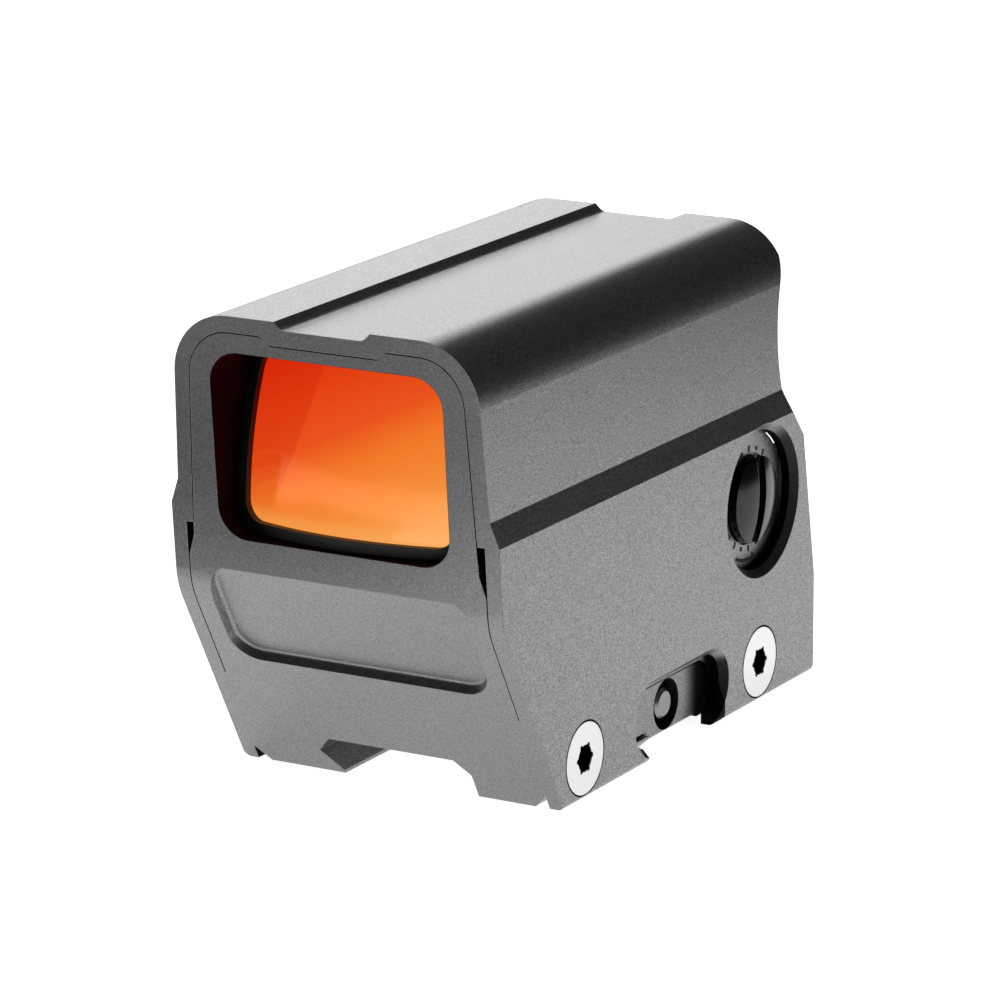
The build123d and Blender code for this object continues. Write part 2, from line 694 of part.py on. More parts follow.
# ================================================================ front lens
with BuildPart() as lens_frame:
    with BuildSketch(across(LENS_BACK_Y)):
        window_outline(-FIT)
    extrude(amount=-LENGTH)
    with Locations(LENS_CENTRE):
        Sphere(LENS_SPHERE, mode=Mode.INTERSECT)
    with BuildSketch(across(LENS_BACK_Y)):
        window_outline(-LENS_BAR)
    extrude(amount=-LENGTH, mode=Mode.SUBTRACT)
    with BuildPart(mode=Mode.PRIVATE) as lens_seat:
        with BuildSketch(across(LENS_BACK_Y)):
            window_outline(LENS_EDGE - LENS_BAR)
        extrude(amount=-LENGTH)
        with Locations(LENS_CENTRE):
            Sphere(LENS_SPHERE - LENS_LIP, mode=Mode.INTERSECT)
    add(lens_seat.part, mode=Mode.SUBTRACT)
save(lens_frame.part, "lens_frame")


def lens_layer(front, back, inset, opening=None):
    """Piece between two spheres about the lens's centre, filling its seat; opening makes it a ring."""
    with BuildPart() as layer:
        with BuildSketch(across(LENS_BACK_Y)):
            window_outline(LENS_EDGE - LENS_BAR - inset)
            if opening:
                window_outline(-opening, mode=Mode.SUBTRACT)
        extrude(amount=-LENGTH)
        with Locations(LENS_CENTRE):
            Sphere(front, mode=Mode.INTERSECT)
            if back:
                Sphere(back, mode=Mode.SUBTRACT)
    return layer.part


LENS_FRONT = LENS_SPHERE - LENS_LIP
LENS_REAR = LENS_FRONT - LENS_THICK
save(lens_layer(LENS_FRONT, LENS_REAR, FIT), "front_lens")
save(lens_layer(LENS_REAR, LENS_REAR - LENS_SEAL, FIT, LENS_BAR), "lens_seal")
save(lens_layer(LENS_REAR - LENS_SEAL, 0, FIT, LENS_BAR + TUNNEL_STEP / 2), "lens_retainer")

# ================================================================ rear window
with BuildPart() as pane_gasket:
    with BuildSketch(across(BEZEL_SEAT_Y - PANE_THICK)):
        window_outline(PANE_OVER - TUNNEL_STEP)
        window_outline(-TUNNEL_STEP, mode=Mode.SUBTRACT)
    extrude(amount=-PANE_GASKET)
save(pane_gasket.part, "pane_gasket")

with BuildPart() as rear_pane:
    with BuildSketch(across(BEZEL_SEAT_Y)):
        window_outline(PANE_OVER - TUNNEL_STEP)
    extrude(amount=-PANE_THICK)
save(rear_pane.part, "rear_pane")

with BuildPart() as rear_bezel:
    with BuildSketch(across(BEZEL_SEAT_Y)):
        crown_outline(PARTING, COVER_TOP_Z + PARTING)
        window_outline(-TUNNEL_STEP, mode=Mode.SUBTRACT)
    extrude(amount=BEZEL_THICK)
    rim = rear_bezel.faces().sort_by(Axis.Y)[-1].inner_wires()[0].edges()
    chamfer(rim, EDGE_CHAMFER / 2)
    for plane in BEZEL_SCREW_PLANES:
        add(
            countersink(
                plane, SMALL_HEAD + FIT, SMALL_RADIUS + FIT, SMALL_HEAD - SMALL_RADIUS, 2 * BEZEL_THICK
            ),
            mode=Mode.SUBTRACT,
        )
save(rear_bezel.part, "rear_bezel")

SMALL_SCREW = (SMALL_HEAD, SMALL_RADIUS, SMALL_HEAD - SMALL_RADIUS, SMALL_LENGTH, SMALL_SOCKET)
save_group([flat_screw(plane, *SMALL_SCREW) for plane in BEZEL_SCREW_PLANES], "bezel_screws")

# ================================================================ adjusting dials
for name, side, lead in (("windage", 1, WINDAGE_LEAD), ("elevation", -1, ELEVATION_LEAD)):
    seat = side_plane(side, SEAT_X + RUN, DIAL_Y, DIAL_Z)
    hub_length = SEAT_X + RUN - BAY_HALF
    dome_radius = (DIAL_RADIUS**2 + DIAL_DOME**2) / (2 * DIAL_DOME)
    dial_top = DIAL_RIM + DIAL_DOME
    with BuildPart(seat) as dial:
        Cylinder(DIAL_RADIUS, dial_top, align=FLUSH)
        with Locations((0, 0, dial_top - dome_radius)):
            Sphere(dome_radius, mode=Mode.INTERSECT)
        with Locations((0, 0, dial_top)):
            Box(
                2 * DIAL_RADIUS,
                DIAL_SLOT,
                2 * DIAL_SLOT_DEPTH,
                rotation=(0, 0, 90 - DIAL_TILT),
                mode=Mode.SUBTRACT,
            )
        with PolarLocations(CLICK_CIRCLE, CLICKS):
            Cylinder(CLICK_RADIUS, CLICK_RADIUS, mode=Mode.SUBTRACT)
        Cylinder(HUB_RADIUS, hub_length, align=DOWN)
        with Locations((0, 0, -HUB_GROOVE_FROM_SEAT)):
            Cylinder(HUB_RADIUS, 2 * (ORING + RUN), mode=Mode.SUBTRACT)
            Cylinder(HUB_GROOVE, 2 * (ORING + RUN))
        Cylinder(LEAD_RADIUS, hub_length + lead, align=DOWN)
        chamfer(dial.edges().filter_by(GeomType.CIRCLE).sort_by(Axis.X)[0 if side > 0 else -1], 0.3)
    save(dial.part, f"{name}_dial")

    with BuildPart(seat.offset(-HUB_GROOVE_FROM_SEAT)) as dial_oring:
        Torus(HUB_GROOVE + ORING, ORING)
    save(dial_oring.part, f"{name}_oring")

    with BuildPart(side_plane(side, BAY_HALF - RUN, DIAL_Y, DIAL_Z)) as clip:
        Cylinder(CLIP_OUTER, CLIP, align=DOWN)
        Cylinder(LEAD_RADIUS, CLIP, align=DOWN, mode=Mode.SUBTRACT)
        with Locations((CLIP_OUTER, 0, 0)):
            Box(2 * CLIP_OUTER, LEAD_RADIUS, 2 * CLIP, mode=Mode.SUBTRACT)
    save(clip.part, f"{name}_clip")

click_planes = [side_plane(side, SEAT_X, DIAL_Y, DIAL_Z - CLICK_CIRCLE) for side in (1, -1)]
balls = []
for plane in click_planes:
    with BuildPart(plane.offset(-BALL)) as ball:
        Sphere(BALL)
    balls.append(ball.part)
save_group(balls, "click_balls")
click_springs = [
    coil(plane.offset(-CLICK_BORE), BALL - WIRE / 2, WIRE / 2, CLICK_BORE - 2 * BALL, 5)
    for plane in click_planes
]
save_group(click_springs, "click_springs")

# ================================================================ emitter, its carriage and its stage
with BuildPart() as elevation_stage:
    with Locations((0, STAGE_FRONT_Y, STAGE_FLOOR_Z)):
        Box(2 * STAGE_HALF, STAGE_DEPTH, STAGE_PLATE, align=(Align.CENTER, Align.MIN, Align.MIN))
    with BuildSketch(Plane.XZ.offset(-DIAL_Y)):
        with BuildLine():
            Polyline(
                (RAMP_LEFT_X, STAGE_FLOOR_Z),
                (RAMP_LEFT_X, wedge_z(RAMP_LEFT_X) - RUN),
                (RAMP_RIGHT_X, wedge_z(RAMP_RIGHT_X) - RUN),
                (RAMP_RIGHT_X, STAGE_FLOOR_Z),
                close=True,
            )
        make_face()
    extrude(amount=DRIVE_HALF, both=True)
    for x in (-POST_X, POST_X):
        with Locations((x, STAGE_FRONT_Y + POST_BACK, STAGE_FLOOR_Z)):
            Cylinder(POST_RADIUS + RUN, 2 * STAGE_PLATE, align=FLUSH, mode=Mode.SUBTRACT)
save(elevation_stage.part, "elevation_stage")

posts = []
lift_springs = []
for x in (-POST_X, POST_X):
    foot = Plane(origin=(x, STAGE_FRONT_Y + POST_BACK, BAY_FLOOR_Z))
    with BuildPart(foot) as post:
        Cylinder(POST_RADIUS, bay_tall, align=FLUSH)
    posts.append(post.part)
    lift_springs.append(coil(foot, POST_RADIUS + 2 * WIRE, WIRE, STAGE_FLOOR, 3))
save_group(posts, "guide_posts")
save_group(lift_springs, "lift_springs")

with BuildPart() as elevation_wedge:
    with BuildSketch(Plane.XZ.offset(-DIAL_Y)):
        with BuildLine():
            Polyline(
                (WEDGE_LEFT_X, wedge_z(WEDGE_LEFT_X)),
                (WEDGE_LEFT_X, BAY_ROOF_Z - RUN),
                (WEDGE_RIGHT_X, BAY_ROOF_Z - RUN),
                (WEDGE_RIGHT_X, wedge_z(WEDGE_RIGHT_X)),
                close=True,
            )
        make_face()
    extrude(amount=DRIVE_HALF, both=True)
    lead_end = ELEVATION_LEAD + ADJUST / WEDGE_RATIO + WIRE
    with Locations(side_plane(-1, BAY_HALF, DIAL_Y, DIAL_Z)):
        Hole(LEAD_RADIUS + RUN, depth=lead_end)
save(elevation_wedge.part, "elevation_wedge")

with BuildPart() as windage_plunger:
    with Locations((CARRIAGE_HALF + FIT, DIAL_Y, PLUNGER_FLOOR_Z)):
        Box(
            PLUNGER_RIGHT_X - CARRIAGE_HALF - FIT,
            2 * DRIVE_HALF,
            BAY_ROOF_Z - RUN - PLUNGER_FLOOR_Z,
            align=(Align.MIN, Align.CENTER, Align.MIN),
        )
    with Locations(side_plane(1, BAY_HALF, DIAL_Y, DIAL_Z)):
        Hole(LEAD_RADIUS + RUN, depth=WINDAGE_LEAD + ADJUST + WIRE)
save(windage_plunger.part, "windage_plunger")

with BuildPart() as emitter_carriage:
    arm_front = DIAL_Y - DRIVE_HALF
    with Locations((0, STAGE_FRONT_Y, CARRIAGE_FLOOR_Z)):
        Box(
            2 * CARRIAGE_HALF,
            arm_front - STAGE_FRONT_Y,
            CARRIAGE_PLATE,
            align=(Align.CENTER, Align.MIN, Align.MIN),
        )
    with Locations((CARRIAGE_REAR_X, arm_front, CARRIAGE_FLOOR_Z)):
        Box(
            CARRIAGE_HALF - CARRIAGE_REAR_X,
            STAGE_REAR_Y - arm_front,
            CARRIAGE_PLATE,
            align=(Align.MIN, Align.MIN, Align.MIN),
        )
    with Locations((CARRIAGE_ARM_X, arm_front, CARRIAGE_FLOOR_Z)):
        Box(
            CARRIAGE_HALF - CARRIAGE_ARM_X,
            STAGE_REAR_Y - arm_front,
            CARRIAGE_TOP_Z - CARRIAGE_FLOOR_Z,
            align=(Align.MIN, Align.MIN, Align.MIN),
        )
    with Locations((0, STEM_Y, CARRIAGE_FLOOR_Z)):
        Box(
            2 * STEM_HALF,
            STEM_DEPTH,
            STEM_TOP_Z - CARRIAGE_FLOOR_Z,
            align=(Align.CENTER, Align.CENTER, Align.MIN),
        )
    emitter_z = STEM_TOP_Z - STEM_HALF
    with Locations(Plane(origin=(0, STEM_Y - STEM_DEPTH / 2, emitter_z), z_dir=(0, -1, 0))):
        Hole(EMITTER_RADIUS, depth=EMITTER_LENGTH)
save(emitter_carriage.part, "emitter_carriage")

with BuildPart(Plane(origin=(0, STEM_Y - STEM_DEPTH / 2, emitter_z), z_dir=(0, -1, 0))) as emitter:
    Cylinder(EMITTER_RADIUS, EMITTER_LENGTH, align=DOWN)
    Sphere(EMITTER_RADIUS * 0.8)
save(emitter.part, "emitter_diode")

SPRING_RADIUS = 0.85
spring_foot = Plane(
    origin=(RAMP_RIGHT_X, DIAL_Y, CARRIAGE_PLATE_Z + SPRING_RADIUS + 2 * WIRE), z_dir=(1, 0, 0)
)
save(coil(spring_foot, SPRING_RADIUS, WIRE, CARRIAGE_ARM_X - RAMP_RIGHT_X, 5), "carriage_spring")

# ================================================================ clamp
with BuildPart() as clamp_jaw:
    with BuildSketch(side_plane(1, JAW_FACE_X, BOLT_Y, BOLT_Z)):
        SlotCenterToCenter(JAW_ENDS, 2 * JAW_RADIUS)
        with Locations((-JAW_STEP_BEFORE_BOLT, JAW_STEP_Z - BOLT_Z)):
            Rectangle(LENGTH, HEIGHT, align=(Align.MAX, Align.MAX), mode=Mode.SUBTRACT)
    extrude(amount=JAW_INNER_X - JAW_FACE_X)
    with BuildSketch(Plane.XZ.offset(-JAW_STEP_Y)):
        lip_z = BOLT_Z - JAW_RADIUS
        lip_top = RAIL_VEE_Z - JAW_CLEARANCE
        grip = clamp_side - JAW_CLEARANCE
        with BuildLine():
            Polyline(
                (grip - lip_top + lip_z, lip_z),
                (grip, lip_top),
                (JAW_INNER_X + JAW_RADIUS, lip_top),
                (JAW_INNER_X + JAW_RADIUS, lip_z),
                close=True,
            )
        make_face()
    extrude(amount=JAW_STEP_Y - JAW_REAR_Y)
    chamfer(clamp_jaw.faces().sort_by(Axis.X)[-1].edges(), 0.3)
    with Locations(side_plane(1, JAW_FACE_X, BOLT_Y, BOLT_Z)):
        CounterBoreHole(BOLT_RADIUS + BOLT_CLEARANCE, JAW_BORE, JAW_BORE_DEPTH)
    with Locations(side_plane(-1, -JAW_INNER_X, BOLT_Y, BOLT_Z)):
        Hole(JAW_BORE, depth=JAW_SPRING_DEPTH)
save(clamp_jaw.part, "clamp_jaw")

with BuildPart(side_plane(-1, HEAD_SEAT_X + WASHER, BOLT_Y, BOLT_Z)) as clamp_bolt:
    Cylinder(BOLT_HEAD_RADIUS, BOLT_HEAD, align=FLUSH)
    chamfer(clamp_bolt.edges().sort_by(Axis.X)[0], 0.4)
    with BuildSketch(side_plane(-1, HEAD_SEAT_X + WASHER + BOLT_HEAD, BOLT_Y, BOLT_Z)):
        RegularPolygon(BOLT_SOCKET_RADIUS, 6)
    extrude(amount=-0.6 * BOLT_HEAD, mode=Mode.SUBTRACT)
    Cylinder(BOLT_RADIUS, HEAD_SEAT_X + WASHER + BOLT_TIP_X, align=DOWN)
    chamfer(clamp_bolt.edges().sort_by(Axis.X)[-1], 0.4)
save(clamp_bolt.part, "clamp_bolt")

with BuildPart(side_plane(-1, HEAD_SEAT_X, BOLT_Y, BOLT_Z)) as clamp_washer:
    Cylinder(BOLT_HEAD_RADIUS, WASHER - RUN / 2, align=FLUSH)
    Cylinder(BOLT_RADIUS + BOLT_CLEARANCE, WASHER, align=FLUSH, mode=Mode.SUBTRACT)
save(clamp_washer.part, "clamp_washer")

jaw_spring_foot = Plane(origin=(JAW_INNER_X - JAW_CLEARANCE, BOLT_Y, BOLT_Z), z_dir=(1, 0, 0))
jaw_spring_radius = (BOLT_RADIUS + JAW_BORE) / 2
save(
    coil(jaw_spring_foot, jaw_spring_radius, WIRE, JAW_SPRING_DEPTH + JAW_CLEARANCE, 4),
    "clamp_spring",
)

# ================================================================ battery and its cap
with BuildPart(side_plane(-1, CAP_SEAT_X, CELL_Y, CELL_Z)) as battery_cap:
    Cylinder(CAP_RADIUS, CAP_FLANGE, align=FLUSH)
    chamfer(battery_cap.edges().sort_by(Axis.X)[0], 0.5)
    with PolarLocations(CAP_RADIUS + CAP_GRIP_RADIUS / 2, CAP_GRIPS):
        Cylinder(CAP_GRIP_RADIUS, CAP_FLANGE, align=FLUSH, mode=Mode.SUBTRACT)
    with Locations((0, 0, CAP_FLANGE)):
        Box(CAP_SLOT_LENGTH, CAP_SLOT, 2 * CAP_SLOT_DEPTH, mode=Mode.SUBTRACT)
    Cylinder(CAP_PLUG_RADIUS, CAP_PLUG, align=DOWN)
    with Locations((0, 0, -CAP_PLUG / 2)):
        Cylinder(CAP_PLUG_RADIUS, 2 * (ORING + RUN), mode=Mode.SUBTRACT)
        Cylinder(CAP_PLUG_RADIUS - 2 * ORING, 2 * (ORING + RUN))
save(battery_cap.part, "battery_cap")

with BuildPart(side_plane(-1, CAP_SEAT_X - CAP_PLUG / 2, CELL_Y, CELL_Z)) as cap_oring:
    Torus(CAP_PLUG_RADIUS - ORING, ORING)
save(cap_oring.part, "battery_cap_oring")

with BuildPart(side_plane(-1, CELL_IN_X, CELL_Y, CELL_Z)) as cell:
    Cylinder(CELL_RADIUS, CELL_THICK, align=FLUSH)
    chamfer(cell.edges(), 0.3)
save(cell.part, "battery_cell")

with BuildPart(side_plane(-1, WELL_FLOOR_X, CELL_Y, CELL_Z)) as contact:
    Cylinder(CELL_RADIUS * 0.6, CONTACT, align=FLUSH)
    with PolarLocations(CELL_RADIUS * 0.35, 3):
        Cylinder(CONTACT * 2, 3 * CONTACT, align=FLUSH)
save(contact.part, "battery_contact")

# ================================================================ board, keypad, cover and buttons
with BuildPart() as board:
    with Locations((0, BOARD_SEAT_Y, BAY_FLOOR_Z + FIT)):
        Box(
            2 * BOARD_HALF,
            BOARD_THICK,
            bay_tall - 2 * FIT,
            align=(Align.CENTER, Align.MIN, Align.MIN),
        )
    for plane in BOARD_SCREW_PLANES:
        with Locations(plane):
            Hole(BOARD_SCREW_RADIUS + FIT, depth=2 * BOARD_THICK)
save(board.part, "control_board")

board_screws = []
for plane in BOARD_SCREW_PLANES:
    with BuildPart(plane) as board_screw:
        Cylinder(BOARD_SCREW_RADIUS, BOARD_THICK + SMALL_LENGTH / 2, align=DOWN)
        Cylinder(BOARD_SCREW_RADIUS * 1.15, BOARD_SCREW_HEAD, align=FLUSH)
    board_screws.append(board_screw.part)
save_group(board_screws, "board_screws")

SWITCH_HEIGHT = COVER_SEAT_Y - BUTTON_TRAVEL - BOARD_SEAT_Y - BOARD_THICK - 2 * FIT
switches = []
for x in (-BUTTON_X, BUTTON_X):
    with BuildPart(across(BOARD_SEAT_Y + BOARD_THICK, x, BUTTON_Z)) as switch:
        Cylinder(SWITCH_RADIUS, SWITCH_HEIGHT, align=FLUSH)
        chamfer(switch.edges().sort_by(Axis.Y)[-1], SWITCH_HEIGHT / 3)
    switches.append(switch.part)
save_group(switches, "tact_switches")

cover_tall = COVER_TOP_Z - COVER_FOOT_Z
cover_middle = (COVER_TOP_Z + COVER_FOOT_Z) / 2
with BuildPart() as membrane:
    with BuildSketch(across(COVER_SEAT_Y, 0, cover_middle)):
        RectangleRounded(2 * COVER_HALF, cover_tall - 2 * FIT, COVER_CORNER)
    extrude(amount=MEMBRANE)
    for plane in COVER_SCREW_PLANES:
        with Locations(plane):
            Hole(SMALL_RADIUS + FIT, depth=2 * COVER_THICK)
save(membrane.part, "keypad_membrane")

cover_plane = across(COVER_SEAT_Y + MEMBRANE, 0, cover_middle)
with BuildPart() as rear_cover:
    with BuildSketch(cover_plane):
        RectangleRounded(2 * COVER_HALF, cover_tall - 2 * FIT, COVER_CORNER)
    extrude(amount=COVER_THICK)
    chamfer(rear_cover.faces().sort_by(Axis.Y)[-1].edges(), EDGE_CHAMFER / 2)
    for x in (-BUTTON_X, BUTTON_X):
        with Locations(across(COVER_SEAT_Y + MEMBRANE, x, BUTTON_Z)):
            Cylinder(BUTTON_RADIUS + RUN, 3 * COVER_THICK, mode=Mode.SUBTRACT)
            Cylinder(
                BUTTON_RADIUS + BUTTON_FLANGE_OUT + RUN,
                2 * (BUTTON_FLANGE + RUN),
                mode=Mode.SUBTRACT,
            )
    for plane in COVER_SCREW_PLANES:
        add(
            countersink(
                plane, SMALL_HEAD + FIT, SMALL_RADIUS + FIT, SMALL_HEAD - SMALL_RADIUS, 2 * COVER_THICK
            ),
            mode=Mode.SUBTRACT,
        )
save(rear_cover.part, "rear_cover")
save_group([flat_screw(plane, *SMALL_SCREW) for plane in COVER_SCREW_PLANES], "cover_screws")

for name, x, bars in (("button_up", BUTTON_X, 2), ("button_down", -BUTTON_X, 1)):
    button_tall = COVER_THICK + BUTTON_PROUD
    with BuildPart(across(COVER_SEAT_Y + MEMBRANE, x, BUTTON_Z)) as button:
        Cylinder(BUTTON_RADIUS, button_tall, align=FLUSH)
        chamfer(button.edges().sort_by(Axis.Y)[-1], BUTTON_CROWN)
        Cylinder(BUTTON_RADIUS + BUTTON_FLANGE_OUT, BUTTON_FLANGE, align=FLUSH)
        with Locations((0, 0, button_tall)):
            Box(MARK_LENGTH, MARK_WIDTH, 2 * MARK_DEPTH, mode=Mode.SUBTRACT)
            if bars > 1:
                Box(MARK_WIDTH, MARK_LENGTH, 2 * MARK_DEPTH, mode=Mode.SUBTRACT)
    save(button.part, name)
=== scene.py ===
"""Finishes, printed dial scales and studio of an enclosed red dot finder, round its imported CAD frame.

Lengths are in metres. X is to the right of someone looking at the front glass, Y runs back to the
eyepiece window and Z is up. Surface patterns are worked out in millimetres of the object's own space.
"""

import bmesh
import bpy
from bpy.props import BoolProperty, FloatProperty, FloatVectorProperty, IntProperty, PointerProperty
from math import cos, pi, radians, sin
from mathutils import Matrix, Vector


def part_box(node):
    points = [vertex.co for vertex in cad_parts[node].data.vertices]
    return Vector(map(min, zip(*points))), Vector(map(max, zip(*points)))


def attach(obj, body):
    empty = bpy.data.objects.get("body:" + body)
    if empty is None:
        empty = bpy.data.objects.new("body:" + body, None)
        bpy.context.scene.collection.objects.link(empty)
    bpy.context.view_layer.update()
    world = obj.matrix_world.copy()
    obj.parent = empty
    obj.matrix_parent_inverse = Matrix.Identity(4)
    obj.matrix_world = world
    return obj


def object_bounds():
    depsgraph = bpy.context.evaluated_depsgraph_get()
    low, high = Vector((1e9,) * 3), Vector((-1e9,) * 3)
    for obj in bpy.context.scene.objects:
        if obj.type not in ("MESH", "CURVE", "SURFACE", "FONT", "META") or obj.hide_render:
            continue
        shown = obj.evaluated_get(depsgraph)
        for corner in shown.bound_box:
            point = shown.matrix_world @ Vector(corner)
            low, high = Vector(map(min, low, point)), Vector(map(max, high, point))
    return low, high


bl_info = {
    "name": "Red Dot Finder Finishes",
    "version": (1, 0, 0),
    "blender": (4, 5, 0),
    "location": "View3D > Sidebar > Finder",
    "description": "Finishes, dial scales and studio for an enclosed red dot finder",
    "category": "Object",
}

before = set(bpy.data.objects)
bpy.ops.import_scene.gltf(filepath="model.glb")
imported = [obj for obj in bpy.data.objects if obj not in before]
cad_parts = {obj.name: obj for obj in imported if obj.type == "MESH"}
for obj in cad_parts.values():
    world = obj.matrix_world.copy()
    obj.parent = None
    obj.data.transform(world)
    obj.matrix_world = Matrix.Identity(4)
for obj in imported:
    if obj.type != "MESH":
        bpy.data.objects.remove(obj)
CAD_LOW, CAD_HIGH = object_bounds()

MM = 0.001
SIDE_X = CAD_HIGH.x  # outer face of the hood's lower walls
BOSS_BACK = 2.14 * MM  # the bosses behind the dials stand this far inside that face
PRINT = 0.03 * MM  # thickness of the printed marks
WINDOW_CORNER = 4.0  # radius of the light tunnel's corners, in millimetres
SCREW_HEAD = 4.6  # radius of the hood screws' heads, in millimetres
DIAL_OPENING = 9.08  # radius of the hood's openings round the dials, in millimetres
RIM_CHAMFER = 1.0  # chamfer round the hood's openings, in millimetres
JAW_OPENING = 4.05  # radius of the ends of the hood's opening round the jaw, in millimetres
JAW_OPENING_Z = 5.5  # height of their centres, in millimetres
JAW_END = 3.6  # radius of the jaw's ends, in millimetres
HOOD_MIDDLE_Z = 30.0  # height of the hood's long axis, in millimetres
CAP_OPENING = 12.15  # radius of the hood's opening round the battery cap, in millimetres
BLACK = (0.004, 0.004, 0.0045, 1.0)


# ---------------------------------------------------------------- shader maths
class Signal:
    """An output socket that can be used in plain arithmetic."""

    def __init__(self, finish, socket):
        self.finish = finish
        self.socket = socket

    def math(self, operation, *values):
        inputs = dict(enumerate(values))
        return self.finish.node("ShaderNodeMath", {"operation": operation}, inputs)

    def __add__(self, other):
        return self.math("ADD", self, other)

    __radd__ = __add__

    def __sub__(self, other):
        return self.math("SUBTRACT", self, other)

    def __rsub__(self, other):
        return self.math("SUBTRACT", other, self)

    def __mul__(self, other):
        return self.math("MULTIPLY", self, other)

    __rmul__ = __mul__

    def __truediv__(self, other):
        return self.math("DIVIDE", self, other)

    def __abs__(self):
        return self.math("ABSOLUTE", self)

    def at_least(self, other):
        return self.math("MAXIMUM", self, other)

    def at_most(self, other):
        return self.math("MINIMUM", self, other)

    def root(self):
        return self.math("SQRT", self)

    def sine(self):
        return self.math("SINE", self)

    def above(self, low, high):
        """0 below low, 1 above high, and smooth between them."""
        inputs = {"Value": self, "From Min": low, "From Max": high}
        settings = {"interpolation_type": "SMOOTHSTEP", "clamp": True}
        return self.finish.node("ShaderNodeMapRange", settings, inputs)


class Finish:
    """A material and the nodes that make it up."""

    def __init__(self, name):
        self.material = bpy.data.materials.new(name)
        self.material.use_nodes = True
        self.tree = self.material.node_tree
        self.tree.nodes.clear()
        here = self.node("ShaderNodeTexCoord", output="Object")
        self.place = self.vector("SCALE", here, Scale=1 / MM)
        self.out = self.tree.nodes.new("ShaderNodeOutputMaterial")

    def node(self, kind, settings=None, inputs=None, output=0):
        """Adds a node: its settings first, then the values or links of its sockets."""
        made = self.tree.nodes.new(kind)
        for key, value in (settings or {}).items():
            if key == "stops":
                self.set_stops(made.color_ramp, value)
            else:
                setattr(made, key, value)
        for key, value in (inputs or {}).items():
            socket = made.inputs[key]
            if isinstance(value, Signal):
                self.tree.links.new(value.socket, socket)
            else:
                socket.default_value = value
        return Signal(self, made.outputs[output])

    def set_stops(self, ramp, stops):
        while len(ramp.elements) < len(stops):
            ramp.elements.new(1.0)
        for element, (position, colour) in zip(ramp.elements, stops):
            element.position = position
            element.color = colour

    def vector(self, operation, *values, **named):
        inputs = {**dict(enumerate(values)), **named}
        return self.node("ShaderNodeVectorMath", {"operation": operation}, inputs)

    def mix(self, factor, first, second):
        """Colour that goes from first to second."""
        inputs = {"Factor": factor, "A": first, "B": second}
        return self.node("ShaderNodeMix", {"data_type": "RGBA"}, inputs, output="Result")

    def parts(self, vector):
        """The three coordinates of a vector."""
        split = self.node("ShaderNodeSeparateXYZ", inputs={0: vector})
        outputs = split.socket.node.outputs
        return [Signal(self, socket) for socket in outputs]

    def noise(self, per_mm, detail=2.0, rough=0.5, stretch=(1.0, 1.0, 1.0)):
        """Cloudy noise from 0 to 1 with a number of blobs in each millimetre."""
        place = self.vector("MULTIPLY", self.place, stretch)
        inputs = {"Vector": place, "Scale": per_mm, "Detail": detail, "Roughness": rough}
        return self.node("ShaderNodeTexNoise", inputs=inputs)

    def reach(self, *offsets):
        """Length of a vector whose coordinates are given."""
        squares = [offset * offset for offset in offsets]
        return sum(squares[1:], squares[0]).root()

    def from_axis(self, point):
        """Distance in millimetres from a line along x through a point."""
        x, y, z = self.parts(self.place)
        return self.reach(y - point.y / MM, z - point.z / MM)

    def cells(self, per_mm):
        """Distance to the nearest of scattered points."""
        inputs = {"Vector": self.place, "Scale": per_mm}
        return self.node("ShaderNodeTexVoronoi", inputs=inputs, output="Distance")

    def inwards(self, middle):
        """1 where a face along the finder looks towards its long axis, and 0 elsewhere."""
        normal = self.node("ShaderNodeNewGeometry", output="Normal")
        across, along, up = self.parts(normal)
        x, y, z = self.parts(self.place)
        outward = across * (x - middle.x / MM) + up * (z - middle.z / MM)
        return (1.0 - outward.above(-2.0, -1.0)) * (1.0 - abs(along).above(0.3, 0.5))

    def facing_front(self):
        """1 on faces across the finder, and 0 on those along it."""
        across, along, up = self.parts(self.node("ShaderNodeNewGeometry", output="Normal"))
        return abs(along).above(0.3, 0.5)

    def edge(self, radius):
        """How far the surface turns within a radius in millimetres, 0 on a flat and 1 on an edge."""
        soft = self.node("ShaderNodeBevel", {"samples": 6}, {"Radius": radius * MM})
        hard = self.node("ShaderNodeNewGeometry", output="Normal")
        alike = self.node(
            "ShaderNodeVectorMath", {"operation": "DOT_PRODUCT"}, {0: soft, 1: hard}, output="Value"
        )
        return (1.0 - alike).above(0.01, 0.16)

    def bump(self, height, strength, distance, radius=0.0):
        """Normal with a relief of distance millimetres, on edges softened by radius."""
        inputs = {"Height": height, "Strength": strength, "Distance": distance * MM}
        if radius:
            inputs["Normal"] = self.node("ShaderNodeBevel", {"samples": 6}, {"Radius": radius * MM})
        return self.node("ShaderNodeBump", inputs=inputs)

    def surface(self, **sockets):
        """Connects the shader, whose sockets are named with underscores."""
        inputs = {name.replace("_", " "): value for name, value in sockets.items()}
        shader = self.node("ShaderNodeBsdfPrincipled", inputs=inputs)
        self.tree.links.new(shader.socket, self.out.inputs["Surface"])
        return self.material


def grey(value):
    return (value, value, value, 1.0)


def colour(red, green, blue):
    return (red, green, blue, 1.0)


